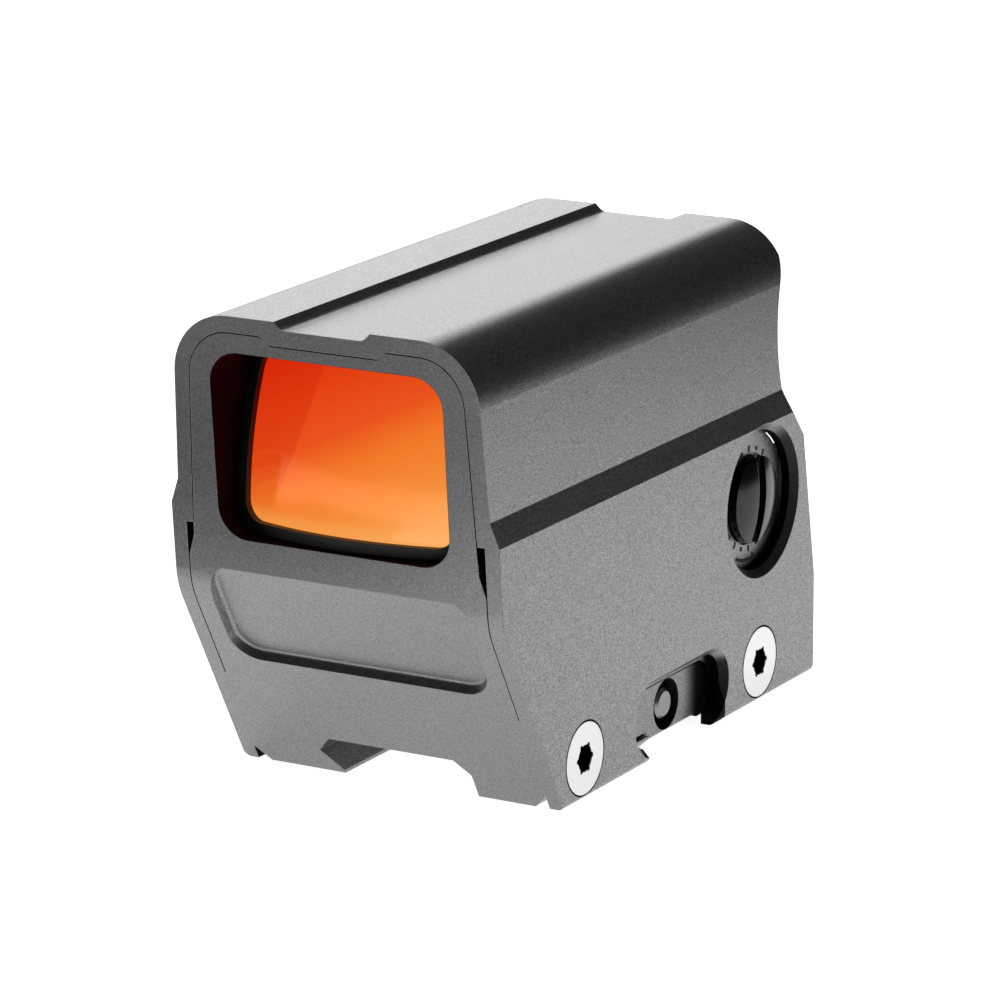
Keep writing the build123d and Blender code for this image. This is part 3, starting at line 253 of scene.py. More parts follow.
# ---------------------------------------------------------------- sizes and colours a user would change
class FinderLooks(bpy.types.PropertyGroup):
    """Colours and finish of the finder."""

    alloy: FloatVectorProperty(
        name="Alloy",
        description="Colour of the blasted, anodised hood and housing",
        subtype="COLOR",
        default=(0.238, 0.238, 0.244),
    )
    alloy_roughness: FloatProperty(
        name="Alloy roughness",
        description="How dull the blasted alloy is",
        default=0.36,
        min=0.0,
        max=1.0,
        subtype="FACTOR",
    )
    grain: FloatProperty(
        name="Blasting grain",
        description="Grains in each millimetre of the blasted surface",
        default=5.2,
    )
    contrast: FloatProperty(
        name="Grain contrast", description="How strongly the grain speckles the alloy", default=1.7
    )
    wear: FloatProperty(
        name="Edge wear",
        description="How far the edges are rubbed bright",
        default=0.18,
        min=0.0,
        max=1.0,
        subtype="FACTOR",
    )
    coating_top: FloatVectorProperty(
        name="Coating, upper",
        description="Colour of the mirror coating at the upper left of the front lens",
        subtype="COLOR",
        default=(0.74, 0.024, 0.003),
    )
    coating_low: FloatVectorProperty(
        name="Coating, lower",
        description="Colour of the mirror coating at the lower right of the front lens",
        subtype="COLOR",
        default=(0.92, 0.395, 0.11),
    )


class DialPrint(bpy.types.PropertyGroup):
    """Scale printed round each dial."""

    divisions: IntProperty(name="Divisions", description="Clicks in one turn", default=20)
    radius: FloatProperty(
        name="Scale radius",
        description="From the middle of the dial to the middle of the marks",
        default=6.6 * MM,
        unit="LENGTH",
    )
    line_length: FloatProperty(
        name="Line length", description="Length of a line mark", default=0.95 * MM, unit="LENGTH"
    )
    line_width: FloatProperty(
        name="Line width", description="Width of a line mark", default=0.46 * MM, unit="LENGTH"
    )
    dot_size: FloatProperty(
        name="Dot size", description="Diameter of a dot mark", default=0.66 * MM, unit="LENGTH"
    )
    arrows: BoolProperty(
        name="Arrow", description="Print the direction arrow below the dial", default=True
    )


class FinderStudio(bpy.types.PropertyGroup):
    """Floor, lights and camera."""

    floor_size: FloatProperty(
        name="Floor", description="Width of the floor", default=9.0, unit="LENGTH"
    )
    floor_glow: FloatProperty(
        name="Floor glow", description="How bright the floor is lit through", default=0.93
    )
    overhead_power: FloatProperty(
        name="Overhead light", description="Power of the overhead softbox", default=10.0, unit="POWER"
    )
    back_power: FloatProperty(
        name="Back light", description="Power of the softbox behind", default=2.6, unit="POWER"
    )
    lens: FloatProperty(
        name="Focal length", description="Focal length of the camera", default=184.6
    )


# ---------------------------------------------------------------- finishes
def blasted(finish, looks, body, alloy_shown, tint=1.0):
    """Bead-blasted, hard anodised alloy: strong fine grain, a little cloud and lightly worn edges.

    Where alloy_shown is 0 it has the body colour given instead, such as black for painted shade and the
    light tunnel's lining, and is duller.
    """
    speck = finish.noise(looks.grain, detail=2.0, rough=0.6)
    fine = finish.noise(looks.grain * 1.9, detail=1.0)
    cloud = finish.noise(0.09, detail=3.0)
    scuff = finish.noise(0.8, detail=4.0, rough=0.7).above(0.48, 0.66)
    wear = finish.edge(0.16) * scuff * alloy_shown * looks.wear
    contrast = (1.5 - finish.facing_front() * 0.75) * looks.contrast
    lightness = contrast * (speck + fine - 1.0) + (0.97 + cloud * 0.06)
    alloy = finish.vector("SCALE", tuple(channel * tint for channel in looks.alloy), Scale=lightness)
    shade = finish.mix(alloy_shown, body, alloy)
    dull = (1.0 - alloy_shown) * 0.4
    return finish.surface(
        Base_Color=finish.mix(wear, shade, grey(0.60)),
        Metallic=1.0,
        Roughness=looks.alloy_roughness + (speck - 0.5) * 0.30 + dull - wear * 0.1,
        Normal=finish.bump(speck + fine * 0.6, 0.55, 0.022, radius=0.14),
    )


def within(distance, radius):
    """1 inside a radius in millimetres and 0 outside it."""
    return 1.0 - distance.above(radius + 0.04, radius + 0.12)


def beside_dial(finish, dial, y, z):
    """Distance from a dial's axis, and how far round it a point is towards the low rear side."""
    low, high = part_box(dial)
    middle = (low + high) / 2
    ring = finish.from_axis(middle)
    lean = ((y - middle.y / MM) * 0.85 - (z - middle.z / MM) * 0.52) / DIAL_OPENING
    return ring, lean


def hood_alloy(looks):
    """The hood's alloy, with black painted shade inside, in the countersinks, on the walls of the
    openings and on the shaded sides of their chamfers.
    """
    finish = Finish("hood_blasted_alloy")
    x, y, z = finish.parts(finish.place)
    low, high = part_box("hood_screws")
    inset = SCREW_HEAD * MM
    dark = []
    # painted shade: black in the gap round each screw head
    for end in (low.y + inset, high.y - inset):
        ring = finish.from_axis(Vector((0, end, (low.z + high.z) / 2)))
        dark.append(1.0 - ring.above(SCREW_HEAD + 0.20, SCREW_HEAD + 0.26))
    # painted shade: black on the wall of the opening round the battery cap
    low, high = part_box("battery_cap")
    ring = finish.from_axis((low + high) / 2)
    dark.append(within(ring, CAP_OPENING) * (1.0 - x.above(-1.0, 1.0)))
    # painted shade: black on the wall of each dial's opening, and darkening the low rear side of its
    # chamfer
    ring, lean = beside_dial(finish, "windage_dial", y, z)
    dark.append(within(ring, DIAL_OPENING))
    rim = DIAL_OPENING + RIM_CHAMFER
    dark.append((1.0 - ring.above(rim, rim + 0.08)) * lean.above(-0.30, 0.30) * 0.85)
    # painted shade: black on the rear end of the clamp's opening and on its chamfer, which is left lit
    # only at its top
    low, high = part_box("clamp_jaw")
    middle = high.y / MM - JAW_END
    end = finish.reach(y - middle, (z - JAW_OPENING_Z).at_least(0.0))
    wall = within(end, JAW_OPENING)
    rim = JAW_OPENING + RIM_CHAMFER
    lit = z.above(JAW_OPENING_Z + 2.2, JAW_OPENING_Z + 4.0)
    round_end = finish.reach(y - middle, z - JAW_OPENING_Z)
    chamfer = (1.0 - round_end.above(rim, rim + 0.08)) * (1.0 - lit) * 0.9
    dark.append(wall.at_least(chamfer) * y.above(middle - 0.5, middle + 0.5))
    # painted shade: black on faces that look inwards
    dark.append(finish.inwards(Vector((0, 0, HOOD_MIDDLE_Z * MM))))
    black = sum(dark[1:], dark[0]).at_most(1.0)
    return blasted(finish, looks, BLACK, 1.0 - black)


def housing_alloy(looks):
    """The housing's alloy, with the light tunnel lined in speckled, dull black, and black painted shade
    behind the clamp jaw, beside the dials and under the hood.
    """
    finish = Finish("housing_blasted_alloy")
    low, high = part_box("lens_frame")
    centre = (low + high) / (2 * MM)
    half = (high - low) / (2 * MM)
    x, y, z = finish.parts(finish.place)
    beyond_x = (abs(x) - (half.x - WINDOW_CORNER)).at_least(0.0)
    beyond_z = (abs(z - centre.z) - (half.z - WINDOW_CORNER)).at_least(0.0)
    outside = finish.reach(beyond_x, beyond_z).above(WINDOW_CORNER + 0.06, WINDOW_CORNER + 0.13)
    flecks = finish.noise(looks.grain, detail=3.0, rough=0.7).above(0.44, 0.74)
    lining = finish.mix(flecks, colour(0.005, 0.0012, 0.0010), colour(0.050, 0.016, 0.013))
    # painted shade: black behind the clamp jaw, in the shade of the dials' walls and under the hood
    jaw_low, jaw_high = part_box("clamp_jaw")
    rear = jaw_high.y / MM
    behind = y.above(rear - 3.0, rear - 1.0) * (1.0 - y.above(rear + 1.0, rear + 1.2))
    behind = behind * (1.0 - z.above(9.4, 9.8)) * abs(x).above(14.0, 14.2)
    ring, lean = beside_dial(finish, "windage_dial", y, z)
    shade = ring.above(DIAL_OPENING - 2.6, DIAL_OPENING) * lean.above(-0.15, 0.75)
    shade = shade * (1.0 - ring.above(DIAL_OPENING, DIAL_OPENING + 0.1)) * abs(x).above(19.0, 19.2)
    # painted shade: black on the outer faces that lie under the hood
    shade_under_hood = (1.0 - finish.inwards(centre * MM)) * (1.0 - finish.facing_front()) * z.above(33.4, 33.6)
    shade_under_hood = shade_under_hood * ring.above(DIAL_OPENING - 0.1, DIAL_OPENING)
    black = behind.at_least(shade).at_least(shade_under_hood * outside)
    body = finish.mix(black, lining, BLACK)
    return blasted(finish, looks, body, outside * (1.0 - black))


def jaw_alloy(looks):
    """The clamp jaw's alloy, with painted shade: black in the bore round the bolt and darker towards
    its rear.
    """
    finish = Finish("jaw_blasted_alloy")
    low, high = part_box("clamp_bolt")
    middle = (low + high) / 2
    x, y, z = finish.parts(finish.place)
    # painted shade: black in the bore, and darker towards the rear
    bore = 1.0 - finish.from_axis(middle).above(3.28, 3.36)
    rear = (y - middle.y / MM).above(4.2, 8.4)
    return blasted(finish, looks, BLACK, 1.0 - bore.at_least(rear), tint=0.92)


def dial_black(name, base, roughness):
    """Polished, black anodised alloy, faintly turned, with fine scuffs."""
    finish = Finish(name)
    speck = finish.noise(5.0, detail=3.0, rough=0.6)
    scuff = finish.noise(1.1, detail=4.0, rough=0.7).above(0.56, 0.72)
    rub = finish.edge(0.14) * scuff
    tone = finish.vector("SCALE", base, Scale=0.75 + speck * 0.5)
    return finish.surface(
        Base_Color=finish.mix(rub * 0.4, tone, grey(0.35)),
        Metallic=1.0,
        Roughness=roughness + (speck - 0.5) * 0.10 + scuff * 0.04,
        Normal=finish.bump(speck, 0.12, 0.010, radius=0.12),
    )


def turned_steel(name, base, roughness, grime=0.15, sunk=None):
    """Turned or drawn steel: fine parallel tool lines, a few scratches and a little grime.

    Anything further than sunk inside the side faces, such as a socket, is painted black as shade.
    """
    finish = Finish(name)
    lines = finish.noise(5.0, detail=2.0, rough=0.7, stretch=(1.0, 0.15, 1.0))
    scratches = finish.noise(2.2, detail=2.0, rough=0.8, stretch=(0.2, 3.0, 1.0)).above(0.62, 0.70)
    stain = finish.noise(0.5, detail=4.0, rough=0.65).above(0.55, 0.8)
    shade = finish.mix(stain * grime, base, grey(0.18))
    if sunk:
        x, y, z = finish.parts(finish.place)
        # painted shade: black in sockets
        shade = finish.mix((SIDE_X / MM - abs(x)).above(sunk, 2 * sunk), shade, BLACK)
    return finish.surface(
        Base_Color=shade,
        Metallic=1.0,
        Roughness=roughness + (lines - 0.5) * 0.14 + scratches * 0.12 + stain * 0.1,
        Normal=finish.bump(lines + scratches * 0.6, 0.22, 0.012, radius=0.08),
    )


def black_oxide(name, base, roughness):
    """Blackened steel or dull black anodising, with rubbed brown-grey edges."""
    finish = Finish(name)
    speck = finish.noise(7.0, detail=2.0)
    edge = finish.edge(0.15)
    rub = edge * finish.noise(1.4, detail=3.0).above(0.40, 0.65) * 0.5
    return finish.surface(
        Base_Color=finish.mix(rub, base, colour(0.16, 0.15, 0.145)),
        Metallic=0.75,
        Roughness=roughness + (speck - 0.5) * 0.2 - rub * 0.15,
        Normal=finish.bump(speck, 0.3, 0.012, radius=0.1),
    )


def matt_black(name, base, roughness):
    """Moulded or painted matt black, with a fine pebbled skin."""
    finish = Finish(name)
    pebble = finish.cells(3.4)
    speck = finish.noise(6.0, detail=2.0)
    shade = finish.vector("SCALE", base[:3], Scale=0.8 + speck * 0.5)
    return finish.surface(
        Base_Color=shade,
        Roughness=roughness + (speck - 0.5) * 0.16,
        Normal=finish.bump(pebble + speck * 0.5, 0.18, 0.02, radius=0.12),
    )


def soft_rubber(name, base):
    """Moulded rubber: dull, faintly dusty, with a fine skin."""
    finish = Finish(name)
    speck = finish.noise(5.0, detail=3.0, rough=0.6)
    dust = finish.noise(0.7, detail=4.0, rough=0.6).above(0.5, 0.8)
    shade = finish.mix(dust * 0.25, base, colour(0.075, 0.073, 0.07))
    return finish.surface(
        Base_Color=shade,
        Roughness=0.62 + speck * 0.16 + dust * 0.1,
        Specular_IOR_Level=0.35,
        Normal=finish.bump(speck, 0.25, 0.03),
    )


def coated_lens(looks):
    """Mirror-coated glass: the coating runs from red at the upper left to orange at the lower right,
    and the lens glows with that colour as painted light.
    """
    finish = Finish("lens_mirror_coating")
    low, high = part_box("front_lens")
    width, tall = (high.x - low.x) / MM, (high.z - low.z) / MM
    x, y, z = finish.parts(finish.place)
    across = x / width + 0.5
    down = (high.z / MM - z) / tall
    drift = finish.noise(0.05, detail=2.0) - 0.5
    stops = [
        (0.08, (*looks.coating_top, 1.0)),
        (0.42, (0.82, 0.088, 0.011, 1.0)),
        (0.54, (0.88, 0.185, 0.019, 1.0)),
        (0.74, (0.90, 0.270, 0.040, 1.0)),
        (0.94, (*looks.coating_low, 1.0)),
    ]
    sweep = across * 0.40 + down * 0.60 + drift * 0.06
    body = finish.node("ShaderNodeValToRGB", {"stops": stops}, {"Fac": sweep})
    # painted reflection: deeper red to the left of a long, shallow curve
    bound = 0.33 - down * 0.06 - down * down * 0.18
    band = (1.0 - (across - bound).above(0.0, 0.012)) * (1.0 - down.above(0.55, 0.85) * 0.7)
    body = finish.mix(band * 0.34, body, colour(0.62, 0.012, 0.001))
    # painted reflections: faint rings of light low on the left, and a pale band along the lower edge
    ring = finish.reach(x + 10.5, z - (low.z / MM + 3.0))
    rings = sum(1.0 - abs(ring - radius).above(0.05, 0.40) for radius in (3.0, 4.6, 6.6))
    body = finish.mix(rings.at_most(1.0) * 0.03, body, colour(0.98, 0.42, 0.10))
    body = finish.mix(down.above(0.86, 0.95) * 0.35, body, colour(0.98, 0.45, 0.12))
    smear = finish.noise(0.5, detail=4.0, rough=0.7).above(0.5, 0.75)
    return finish.surface(
        Base_Color=finish.vector("SCALE", body, Scale=0.16),
        Metallic=0.5,
        Roughness=0.14 + smear * 0.05,
        IOR=1.5,
        Coat_Weight=0.05,
        Coat_Roughness=0.05,
        # painted glow: the lens gives off its coating's colour as light
        Emission_Color=body,
        Emission_Strength=0.97,
    )


def clear_glass(name):
    """Clear window glass with a faint green-blue coating and a trace of dust."""
    finish = Finish(name)
    dust = finish.noise(1.6, detail=4.0, rough=0.7).above(0.55, 0.85)
    return finish.surface(
        Base_Color=finish.mix(dust * 0.1, colour(0.90, 0.97, 0.95), colour(0.8, 0.8, 0.78)),
        Roughness=0.02 + dust * 0.06,
        IOR=1.5,
        Transmission_Weight=0.95,
        Coat_Weight=0.4,
        Coat_Roughness=0.02,
        Coat_Tint=(0.55, 0.85, 0.75, 1.0),
    )


def brass(name):
    """Machined brass, with tool lines and slight tarnish."""
    finish = Finish(name)
    lines = finish.noise(6.0, detail=2.0, stretch=(0.1, 1.0, 1.0))
    tarnish = finish.noise(0.8, detail=4.0, rough=0.6).above(0.45, 0.8)
    return finish.surface(
        Base_Color=finish.mix(tarnish * 0.5, colour(0.80, 0.57, 0.23), colour(0.42, 0.27, 0.11)),
        Metallic=1.0,
        Roughness=0.24 + (lines - 0.5) * 0.12 + tarnish * 0.16,
        Normal=finish.bump(lines, 0.2, 0.01, radius=0.1),
    )


def emitter_epoxy(name):
    """Clear red epoxy of the light source, glowing faintly."""
    finish = Finish(name)
    swirl = finish.noise(1.4, detail=3.0)
    return finish.surface(
        Base_Color=finish.mix(swirl, colour(0.55, 0.01, 0.01), colour(0.8, 0.04, 0.02)),
        Roughness=0.12 + swirl * 0.05,
        Transmission_Weight=0.4,
        Emission_Color=(1.0, 0.02, 0.01, 1.0),
        Emission_Strength=0.6,
    )


def board_laminate(name):
    """Green coated glass-fibre board, with the weave and copper tracks just visible."""
    finish = Finish(name)
    x, y, z = finish.parts(finish.place)
    weave = (x * 9.0).sine() * (z * 9.0).sine() * 0.5 + 0.5
    copper = abs((z * 1.9 + (x * 0.35).sine()).sine()).above(0.90, 0.95)
    base = finish.mix(weave * 0.5, colour(0.010, 0.105, 0.035), colour(0.020, 0.150, 0.055))
    return finish.surface(
        Base_Color=finish.mix(copper * 0.6, base, colour(0.10, 0.26, 0.09)),
        Roughness=0.32 + weave * 0.08,
        Coat_Weight=0.5,
        Normal=finish.bump(weave * 0.3 + copper, 0.2, 0.03),
    )


def printed_paint(name):
    """Black pad-printed ink, a little uneven at its edges."""
    finish = Finish(name)
    speck = finish.noise(9.0, detail=3.0)
    thin = finish.noise(3.0, detail=3.0).above(0.60, 0.72)
    return finish.surface(
        Base_Color=finish.mix(thin * 0.35, colour(0.008, 0.008, 0.009), grey(0.05)),
        Roughness=0.55 + speck * 0.2,
        Specular_IOR_Level=0.3,
        Normal=finish.bump(speck, 0.2, 0.01),
    )


def floor_paint(name, glow):
    """Pale studio floor, lit through from below, with the faintest unevenness."""
    finish = Finish(name)
    cloud = finish.noise(0.004, detail=3.0)
    shade = finish.mix(cloud, grey(0.83), grey(0.85))
    return finish.surface(
        Base_Color=shade,
        Roughness=0.75,
        Specular_IOR_Level=0.12,
        Emission_Color=grey(1.0),
        Emission_Strength=glow,
    )


def paint(nodes, material):
    """Gives CAD nodes a finish."""
    for name in nodes:
        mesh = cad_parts[name].data
        mesh.materials.clear()
        mesh.materials.append(material)


# ---------------------------------------------------------------- printed marks
ARROW_GAP = 1.45 * MM  # from the middle of the scale's marks to the middle of the arrow
ARROW_START, ARROW_END = radians(-116), radians(-84)
ARROW_HEAD_TURN = radians(7.5)  # how far round the dial the arrow's head reaches
ARROW_HEAD = 1.55  # half width of the head, in widths of its line


def slab(shape, points, thick):
    """Adds a flat prism of a closed outline, upwards from z = 0."""
    low = [shape.verts.new((x, y, 0.0)) for x, y in points]
    high = [shape.verts.new((x, y, thick)) for x, y in points]
    shape.faces.new(reversed(low))
    shape.faces.new(high)
    for i, j in zip(range(len(points)), [*range(1, len(points)), 0]):
        shape.faces.new((low[i], low[j], high[j], high[i]))


def capsule(length, width, steps=6):
    """Outline of a bar with round ends, along x."""
    reach = length / 2 - width / 2
    turns = [pi * step / steps - pi / 2 for step in range(steps + 1)]
    right = [(reach + width / 2 * cos(turn), width / 2 * sin(turn)) for turn in turns]
    return right + [(-x, -y) for x, y in right]


def disc(size, steps=14):
    """Outline of a round dot."""
    turns = [2 * pi * step / steps for step in range(steps)]
    return [(size / 2 * cos(turn), size / 2 * sin(turn)) for turn in turns]


def placed(points, turn, radius):
    """An outline moved out along x by a radius, then turned about the middle."""
    return [
        (
            (x + radius) * cos(turn) - y * sin(turn),
            (x + radius) * sin(turn) + y * cos(turn),
        )
        for x, y in points
    ]


def dial_marks(name, dial, side, scale):
    """Scale round a dial, and the direction arrow below it, printed on the face of its boss."""
    low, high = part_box(dial)
    middle = (low + high) / 2
    shape = bmesh.new()
    step = 2 * pi / scale.divisions
    for index in range(scale.divisions):
        turn = pi / 2 - index * step
        if index % 2:
            outline = disc(scale.dot_size)
        else:
            outline = capsule(scale.line_length, scale.line_width)
        slab(shape, placed(outline, turn, scale.radius), PRINT)
    if scale.arrows:
        for outline in arrow_outlines(scale):
            slab(shape, outline, PRINT)
    mesh = bpy.data.meshes.new(name)
    shape.to_mesh(mesh)
    shape.free()
    face = Matrix(((0, 0, side), (side, 0, 0), (0, 1, 0)))
    mesh.transform(face.to_4x4())
    mesh.transform(Matrix.Translation((side * (SIDE_X - BOSS_BACK), middle.y, middle.z)))
    mesh.materials.append(printed_paint(f"{name}_ink"))
    marks = bpy.data.objects.new(name, mesh)
    bpy.context.scene.collection.objects.link(marks)
    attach(marks, "housing")


def arrow_outlines(scale):
    """A curved arrow with a head at one end, under the dial."""
    radius = scale.radius + ARROW_GAP
    width = scale.line_width
    steps = 14
    sweep = ARROW_END - ARROW_START
    turns = [ARROW_START + sweep * step / steps for step in range(steps + 1)]
    outer = [((radius + width / 2) * cos(t), (radius + width / 2) * sin(t)) for t in turns]
    inner = [((radius - width / 2) * cos(t), (radius - width / 2) * sin(t)) for t in turns]
    far, near = radius + width * ARROW_HEAD, radius - width * ARROW_HEAD
    tip_turn = ARROW_END + ARROW_HEAD_TURN
    head = [
        (far * cos(ARROW_END), far * sin(ARROW_END)),
        (radius * cos(tip_turn), radius * sin(tip_turn)),
        (near * cos(ARROW_END), near * sin(ARROW_END)),
    ]
    return [outer + inner[::-1], head[::-1]]


# ---------------------------------------------------------------- operators
class FINDER_OT_alloy_shells(bpy.types.Operator):
    """Finish the hood, the housing and the clamp jaw in blasted alloy"""

    bl_idname = "finder.alloy_shells"
    bl_label = "Alloy shells"

    def execute(self, context):
        looks = context.scene.finder_looks
        paint(["hood"], hood_alloy(looks))
        paint(["housing"], housing_alloy(looks))
        paint(["clamp_jaw"], jaw_alloy(looks))
        return {"FINISHED"}


class FINDER_OT_dials(bpy.types.Operator):
    """Finish the two dials and the battery cap"""

    bl_idname = "finder.dials"
    bl_label = "Dials and battery cap"

    def execute(self, context):
        black = dial_black("dial_gloss_black", (0.038, 0.038, 0.040), 0.17)
        paint(["windage_dial", "elevation_dial", "battery_cap"], black)
        return {"FINISHED"}


class FINDER_OT_screws(bpy.types.Operator):
    """Finish the screws, the clamp bolt and its washer"""

    bl_idname = "finder.screws"
    bl_label = "Screws and bolt"

    def execute(self, context):
        bright = turned_steel("stainless_screw_heads", grey(0.74), 0.34, grime=0.04, sunk=0.12)
        paint(["hood_screws"], bright)
        paint(["clamp_bolt", "clamp_washer"], turned_steel("bolt_satin_steel", grey(0.27), 0.36))
        black = black_oxide("black_oxide_screws", grey(0.03), 0.38)
        paint(["bezel_screws", "cover_screws", "board_screws"], black)
        return {"FINISHED"}


class FINDER_OT_front_lens(bpy.types.Operator):
    """Finish the coated front lens, its black frame, seal and retainer"""

    bl_idname = "finder.front_lens"
    bl_label = "Front lens"

    def execute(self, context):
        paint(["front_lens"], coated_lens(context.scene.finder_looks))
        paint(["lens_frame"], matt_black("lens_frame_black", grey(0.004), 0.5))
        paint(["lens_seal", "pane_gasket"], soft_rubber("seal_rubber_black", grey(0.015)))
        paint(["lens_retainer"], black_oxide("retainer_black_anodised", grey(0.02), 0.45))
        return {"FINISHED"}


class FINDER_OT_rear_window(bpy.types.Operator):
    """Finish the clear rear window and its bezel"""

    bl_idname = "finder.rear_window"
    bl_label = "Rear window"

    def execute(self, context):
        paint(["rear_pane"], clear_glass("rear_window_glass"))
        paint(["rear_bezel"], black_oxide("bezel_black_anodised", grey(0.03), 0.4))
        return {"FINISHED"}


class FINDER_OT_keypad(bpy.types.Operator):
    """Finish the rear cover, its rubber buttons, the membrane, the switches and the board"""

    bl_idname = "finder.keypad"
    bl_label = "Rear cover and buttons"

    def execute(self, context):
        paint(["rear_cover"], black_oxide("cover_black_anodised", grey(0.035), 0.42))
        paint(["button_up", "button_down"], soft_rubber("button_rubber_black", grey(0.028)))
        paint(["keypad_membrane"], soft_rubber("membrane_rubber_black", grey(0.02)))
        paint(["tact_switches"], matt_black("switch_moulded_black", grey(0.02), 0.5))
        paint(["control_board"], board_laminate("board_green_laminate"))
        return {"FINISHED"}


class FINDER_OT_adjusters(bpy.types.Operator):
    """Finish the lead pieces, stages, springs, clips, seals and light source inside"""

    bl_idname = "finder.adjusters"
    bl_label = "Inner mechanism"

    def execute(self, context):
        paint(["windage_plunger", "elevation_wedge"], brass("lead_brass"))
        stage = black_oxide("stage_black_anodised", grey(0.03), 0.42)
        paint(["elevation_stage", "emitter_carriage"], stage)
        springs = ["lift_springs", "carriage_spring", "click_springs", "clamp_spring"]
        posts = ["guide_posts", "click_balls", "windage_clip", "elevation_clip", "battery_contact"]
        paint(springs + posts, turned_steel("spring_bright_steel", grey(0.60), 0.22))
        seals = ["windage_oring", "elevation_oring", "battery_cap_oring"]
        paint(seals, soft_rubber("oring_rubber_black", grey(0.012)))
        paint(["emitter_diode"], emitter_epoxy("emitter_red_epoxy"))
        paint(["battery_cell"], turned_steel("cell_plated_steel", grey(0.72), 0.2))
        return {"FINISHED"}


class FINDER_OT_dial_print(bpy.types.Operator):
    """Print the scale and the direction arrow round each dial"""

    bl_idname = "finder.dial_print"
    bl_label = "Dial scales"

    def execute(self, context):
        scale = context.scene.dial_print
        dial_marks("windage_scale_print", "windage_dial", 1, scale)
        dial_marks("elevation_scale_print", "elevation_dial", -1, scale)
        return {"FINISHED"}


# ---------------------------------------------------------------- studio
CARD_LIFT = 0.002  # height of the dark cards that lie over the floor
CARD_HEIGHT = 0.20  # height of the one that stands behind
CARD_DISTANCE = 0.32  # of its ends from the finder
CAMERA_TURN, CAMERA_TIP, CAMERA_ROLL = radians(30.06), radians(15.0), radians(-0.32)
CAMERA_AIM = Vector((0.0, -6.56, 30.0)) * MM
CAMERA_OFFSET = Vector((3.057, 1.778, 641.8)) * MM  # from its aim: to its right, up and back


def softbox(name, place, target, size, power):
    """Area light that faces a target and isn't seen by the camera."""
    light = bpy.data.lights.new(name, "AREA")
    light.shape = "RECTANGLE"
    light.size, light.size_y = size
    light.energy = power
    lamp = bpy.data.objects.new(name, light)
    lamp.location = place
    lamp.rotation_euler = (Vector(target) - Vector(place)).to_track_quat("-Z", "Y").to_euler()
    lamp.visible_camera = False
    bpy.context.scene.collection.objects.link(lamp)


def sheet(name, corners, material):
    """A flat piece of the studio with four corners."""
    mesh = bpy.data.meshes.new(name)
    mesh.from_pydata(corners, [], [(0, 1, 2, 3)])
    mesh.materials.append(material)
    made = bpy.data.objects.new(name, mesh)
    bpy.context.scene.collection.objects.link(made)
    return made


def flat_corners(left, right, near, far, height):
    """Corners of a level rectangle."""
    return [(left, near, height), (right, near, height), (right, far, height), (left, far, height)]


def around(bearing, height, distance):
    """Point at a bearing from +Y towards +X and a height above the horizon, both in degrees."""
    flat = distance * cos(radians(height))
    return Vector(
        (flat * sin(radians(bearing)), flat * cos(radians(bearing)), distance * sin(radians(height)))
    )


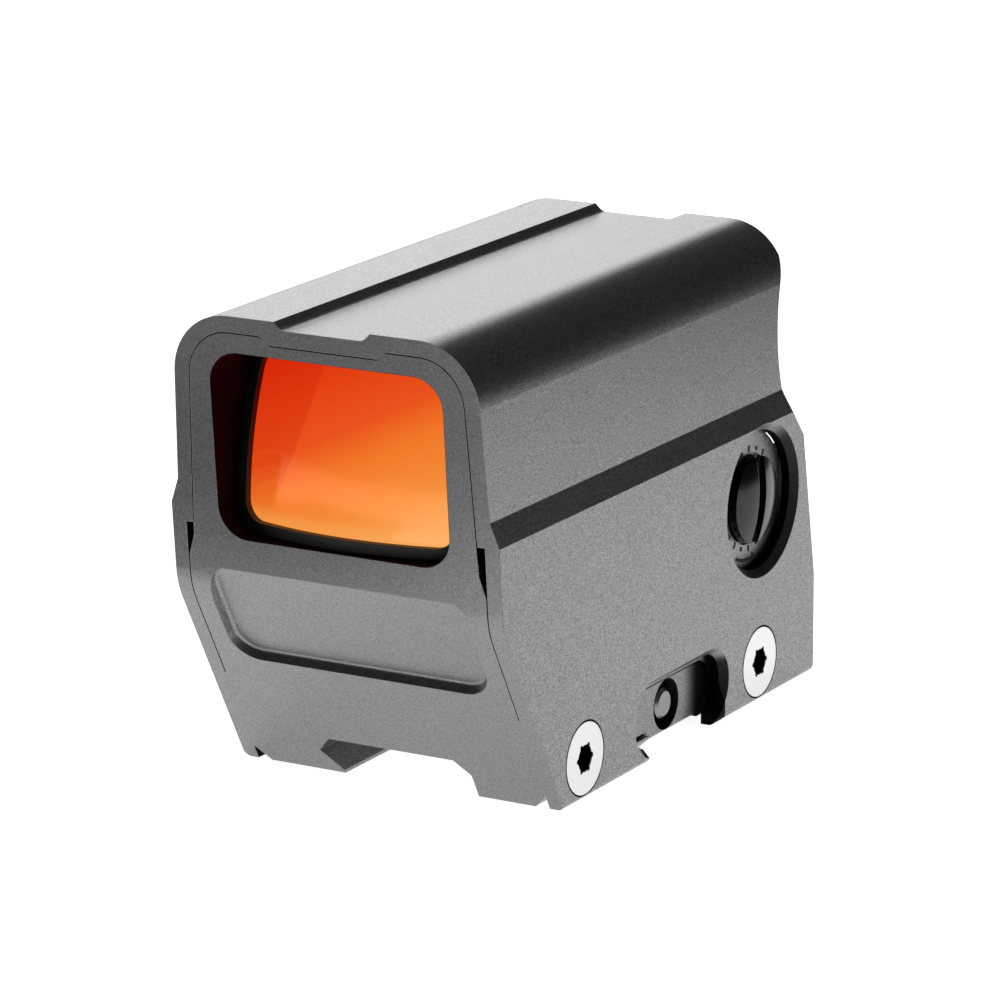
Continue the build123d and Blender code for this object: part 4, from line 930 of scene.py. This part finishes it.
class FINDER_OT_studio(bpy.types.Operator):
    """Set up the floor, the lights and the camera"""

    bl_idname = "finder.studio"
    bl_label = "Studio"

    def execute(self, context):
        studio = context.scene.finder_studio
        self.add_floor(studio)
        self.add_cards()
        self.add_lights(context.scene, studio)
        self.add_camera(context.scene, studio)
        return {"FINISHED"}

    def add_floor(self, studio):
        half = studio.floor_size / 2
        corners = flat_corners(-half, half, -half, half, 0)
        sheet("studio_floor", corners, floor_paint("studio_floor_pale", studio.floor_glow))

    def add_cards(self):
        """Dark cards, seen only as reflections, that model the bright alloy."""
        dark = matt_black("studio_card_black", grey(0.02), 0.9)
        left, right = around(8, 0, CARD_DISTANCE), around(58, 0, CARD_DISTANCE)
        top = Vector((0, 0, CARD_HEIGHT))
        cards = {
            "front_card": flat_corners(-0.16, -0.02, -0.22, -0.085, CARD_LIFT),
            "side_card": flat_corners(0.055, 0.30, -0.16, 0.0, CARD_LIFT),
            "back_card": [left, right, right + top, left + top],
        }
        for name, corners in cards.items():
            card = sheet(name, corners, dark)
            card.visible_camera = False
            card.visible_shadow = False

    def add_lights(self, scene, studio):
        above = (0.0, -0.10, 1.6)
        softbox("overhead_softbox", above, (0, -0.10, 0), (1.2, 1.2), studio.overhead_power)
        back = around(-43, 22, 1.0)
        softbox("back_left_softbox", back, (0, 0, 0.05), (0.72, 0.5), studio.back_power)
        world = bpy.data.worlds.new("studio_world")
        world.use_nodes = True
        background = world.node_tree.nodes["Background"]
        background.inputs["Color"].default_value = grey(0.045)
        background.inputs["Strength"].default_value = 1.0
        scene.world = world
        scene.view_settings.view_transform = "Standard"

    def add_camera(self, scene, studio):
        turn, tip = CAMERA_TURN, CAMERA_TIP
        back = Vector((sin(turn) * cos(tip), -cos(turn) * cos(tip), sin(tip)))
        right = Vector((cos(turn), sin(turn), 0.0))
        up = back.cross(right)
        lens = bpy.data.cameras.new("studio_camera")
        lens.lens = studio.lens
        lens.sensor_width = 36.0
        lens.clip_start, lens.clip_end = 0.05, 30.0
        camera = bpy.data.objects.new("studio_camera", lens)
        axes = Matrix((right, up, back)).transposed()
        camera.matrix_world = (axes @ Matrix.Rotation(CAMERA_ROLL, 3, "Z")).to_4x4()
        camera.location = CAMERA_AIM + axes @ CAMERA_OFFSET
        scene.collection.objects.link(camera)
        scene.camera = camera


class FINDER_PT_sidebar(bpy.types.Panel):
    """Pieces and finishes of the finder"""

    bl_idname = "FINDER_PT_sidebar"
    bl_label = "Red dot finder"
    bl_space_type = "VIEW_3D"
    bl_region_type = "UI"
    bl_category = "Finder"

    def draw(self, context):
        layout = self.layout
        for group in ("finder_looks", "dial_print", "finder_studio"):
            settings = getattr(context.scene, group)
            box = layout.box()
            for name in settings.__annotations__:
                box.prop(settings, name)
        for operator in OPERATORS:
            layout.operator(operator.bl_idname)


OPERATORS = (
    FINDER_OT_alloy_shells,
    FINDER_OT_dials,
    FINDER_OT_screws,
    FINDER_OT_front_lens,
    FINDER_OT_rear_window,
    FINDER_OT_keypad,
    FINDER_OT_adjusters,
    FINDER_OT_dial_print,
    FINDER_OT_studio,
)
GROUPS = (
    ("finder_looks", FinderLooks),
    ("dial_print", DialPrint),
    ("finder_studio", FinderStudio),
)


def register():
    for name, group in GROUPS:
        bpy.utils.register_class(group)
        setattr(bpy.types.Scene, name, PointerProperty(type=group))
    for operator in OPERATORS:
        bpy.utils.register_class(operator)
    bpy.utils.register_class(FINDER_PT_sidebar)


def unregister():
    bpy.utils.unregister_class(FINDER_PT_sidebar)
    for operator in reversed(OPERATORS):
        bpy.utils.unregister_class(operator)
    for name, group in reversed(GROUPS):
        delattr(bpy.types.Scene, name)
        bpy.utils.unregister_class(group)


def main():
    register()
    for operator in OPERATORS:
        space, action = operator.bl_idname.split(".")
        getattr(getattr(bpy.ops, space), action)()


if __name__ == "__main__":
    main()
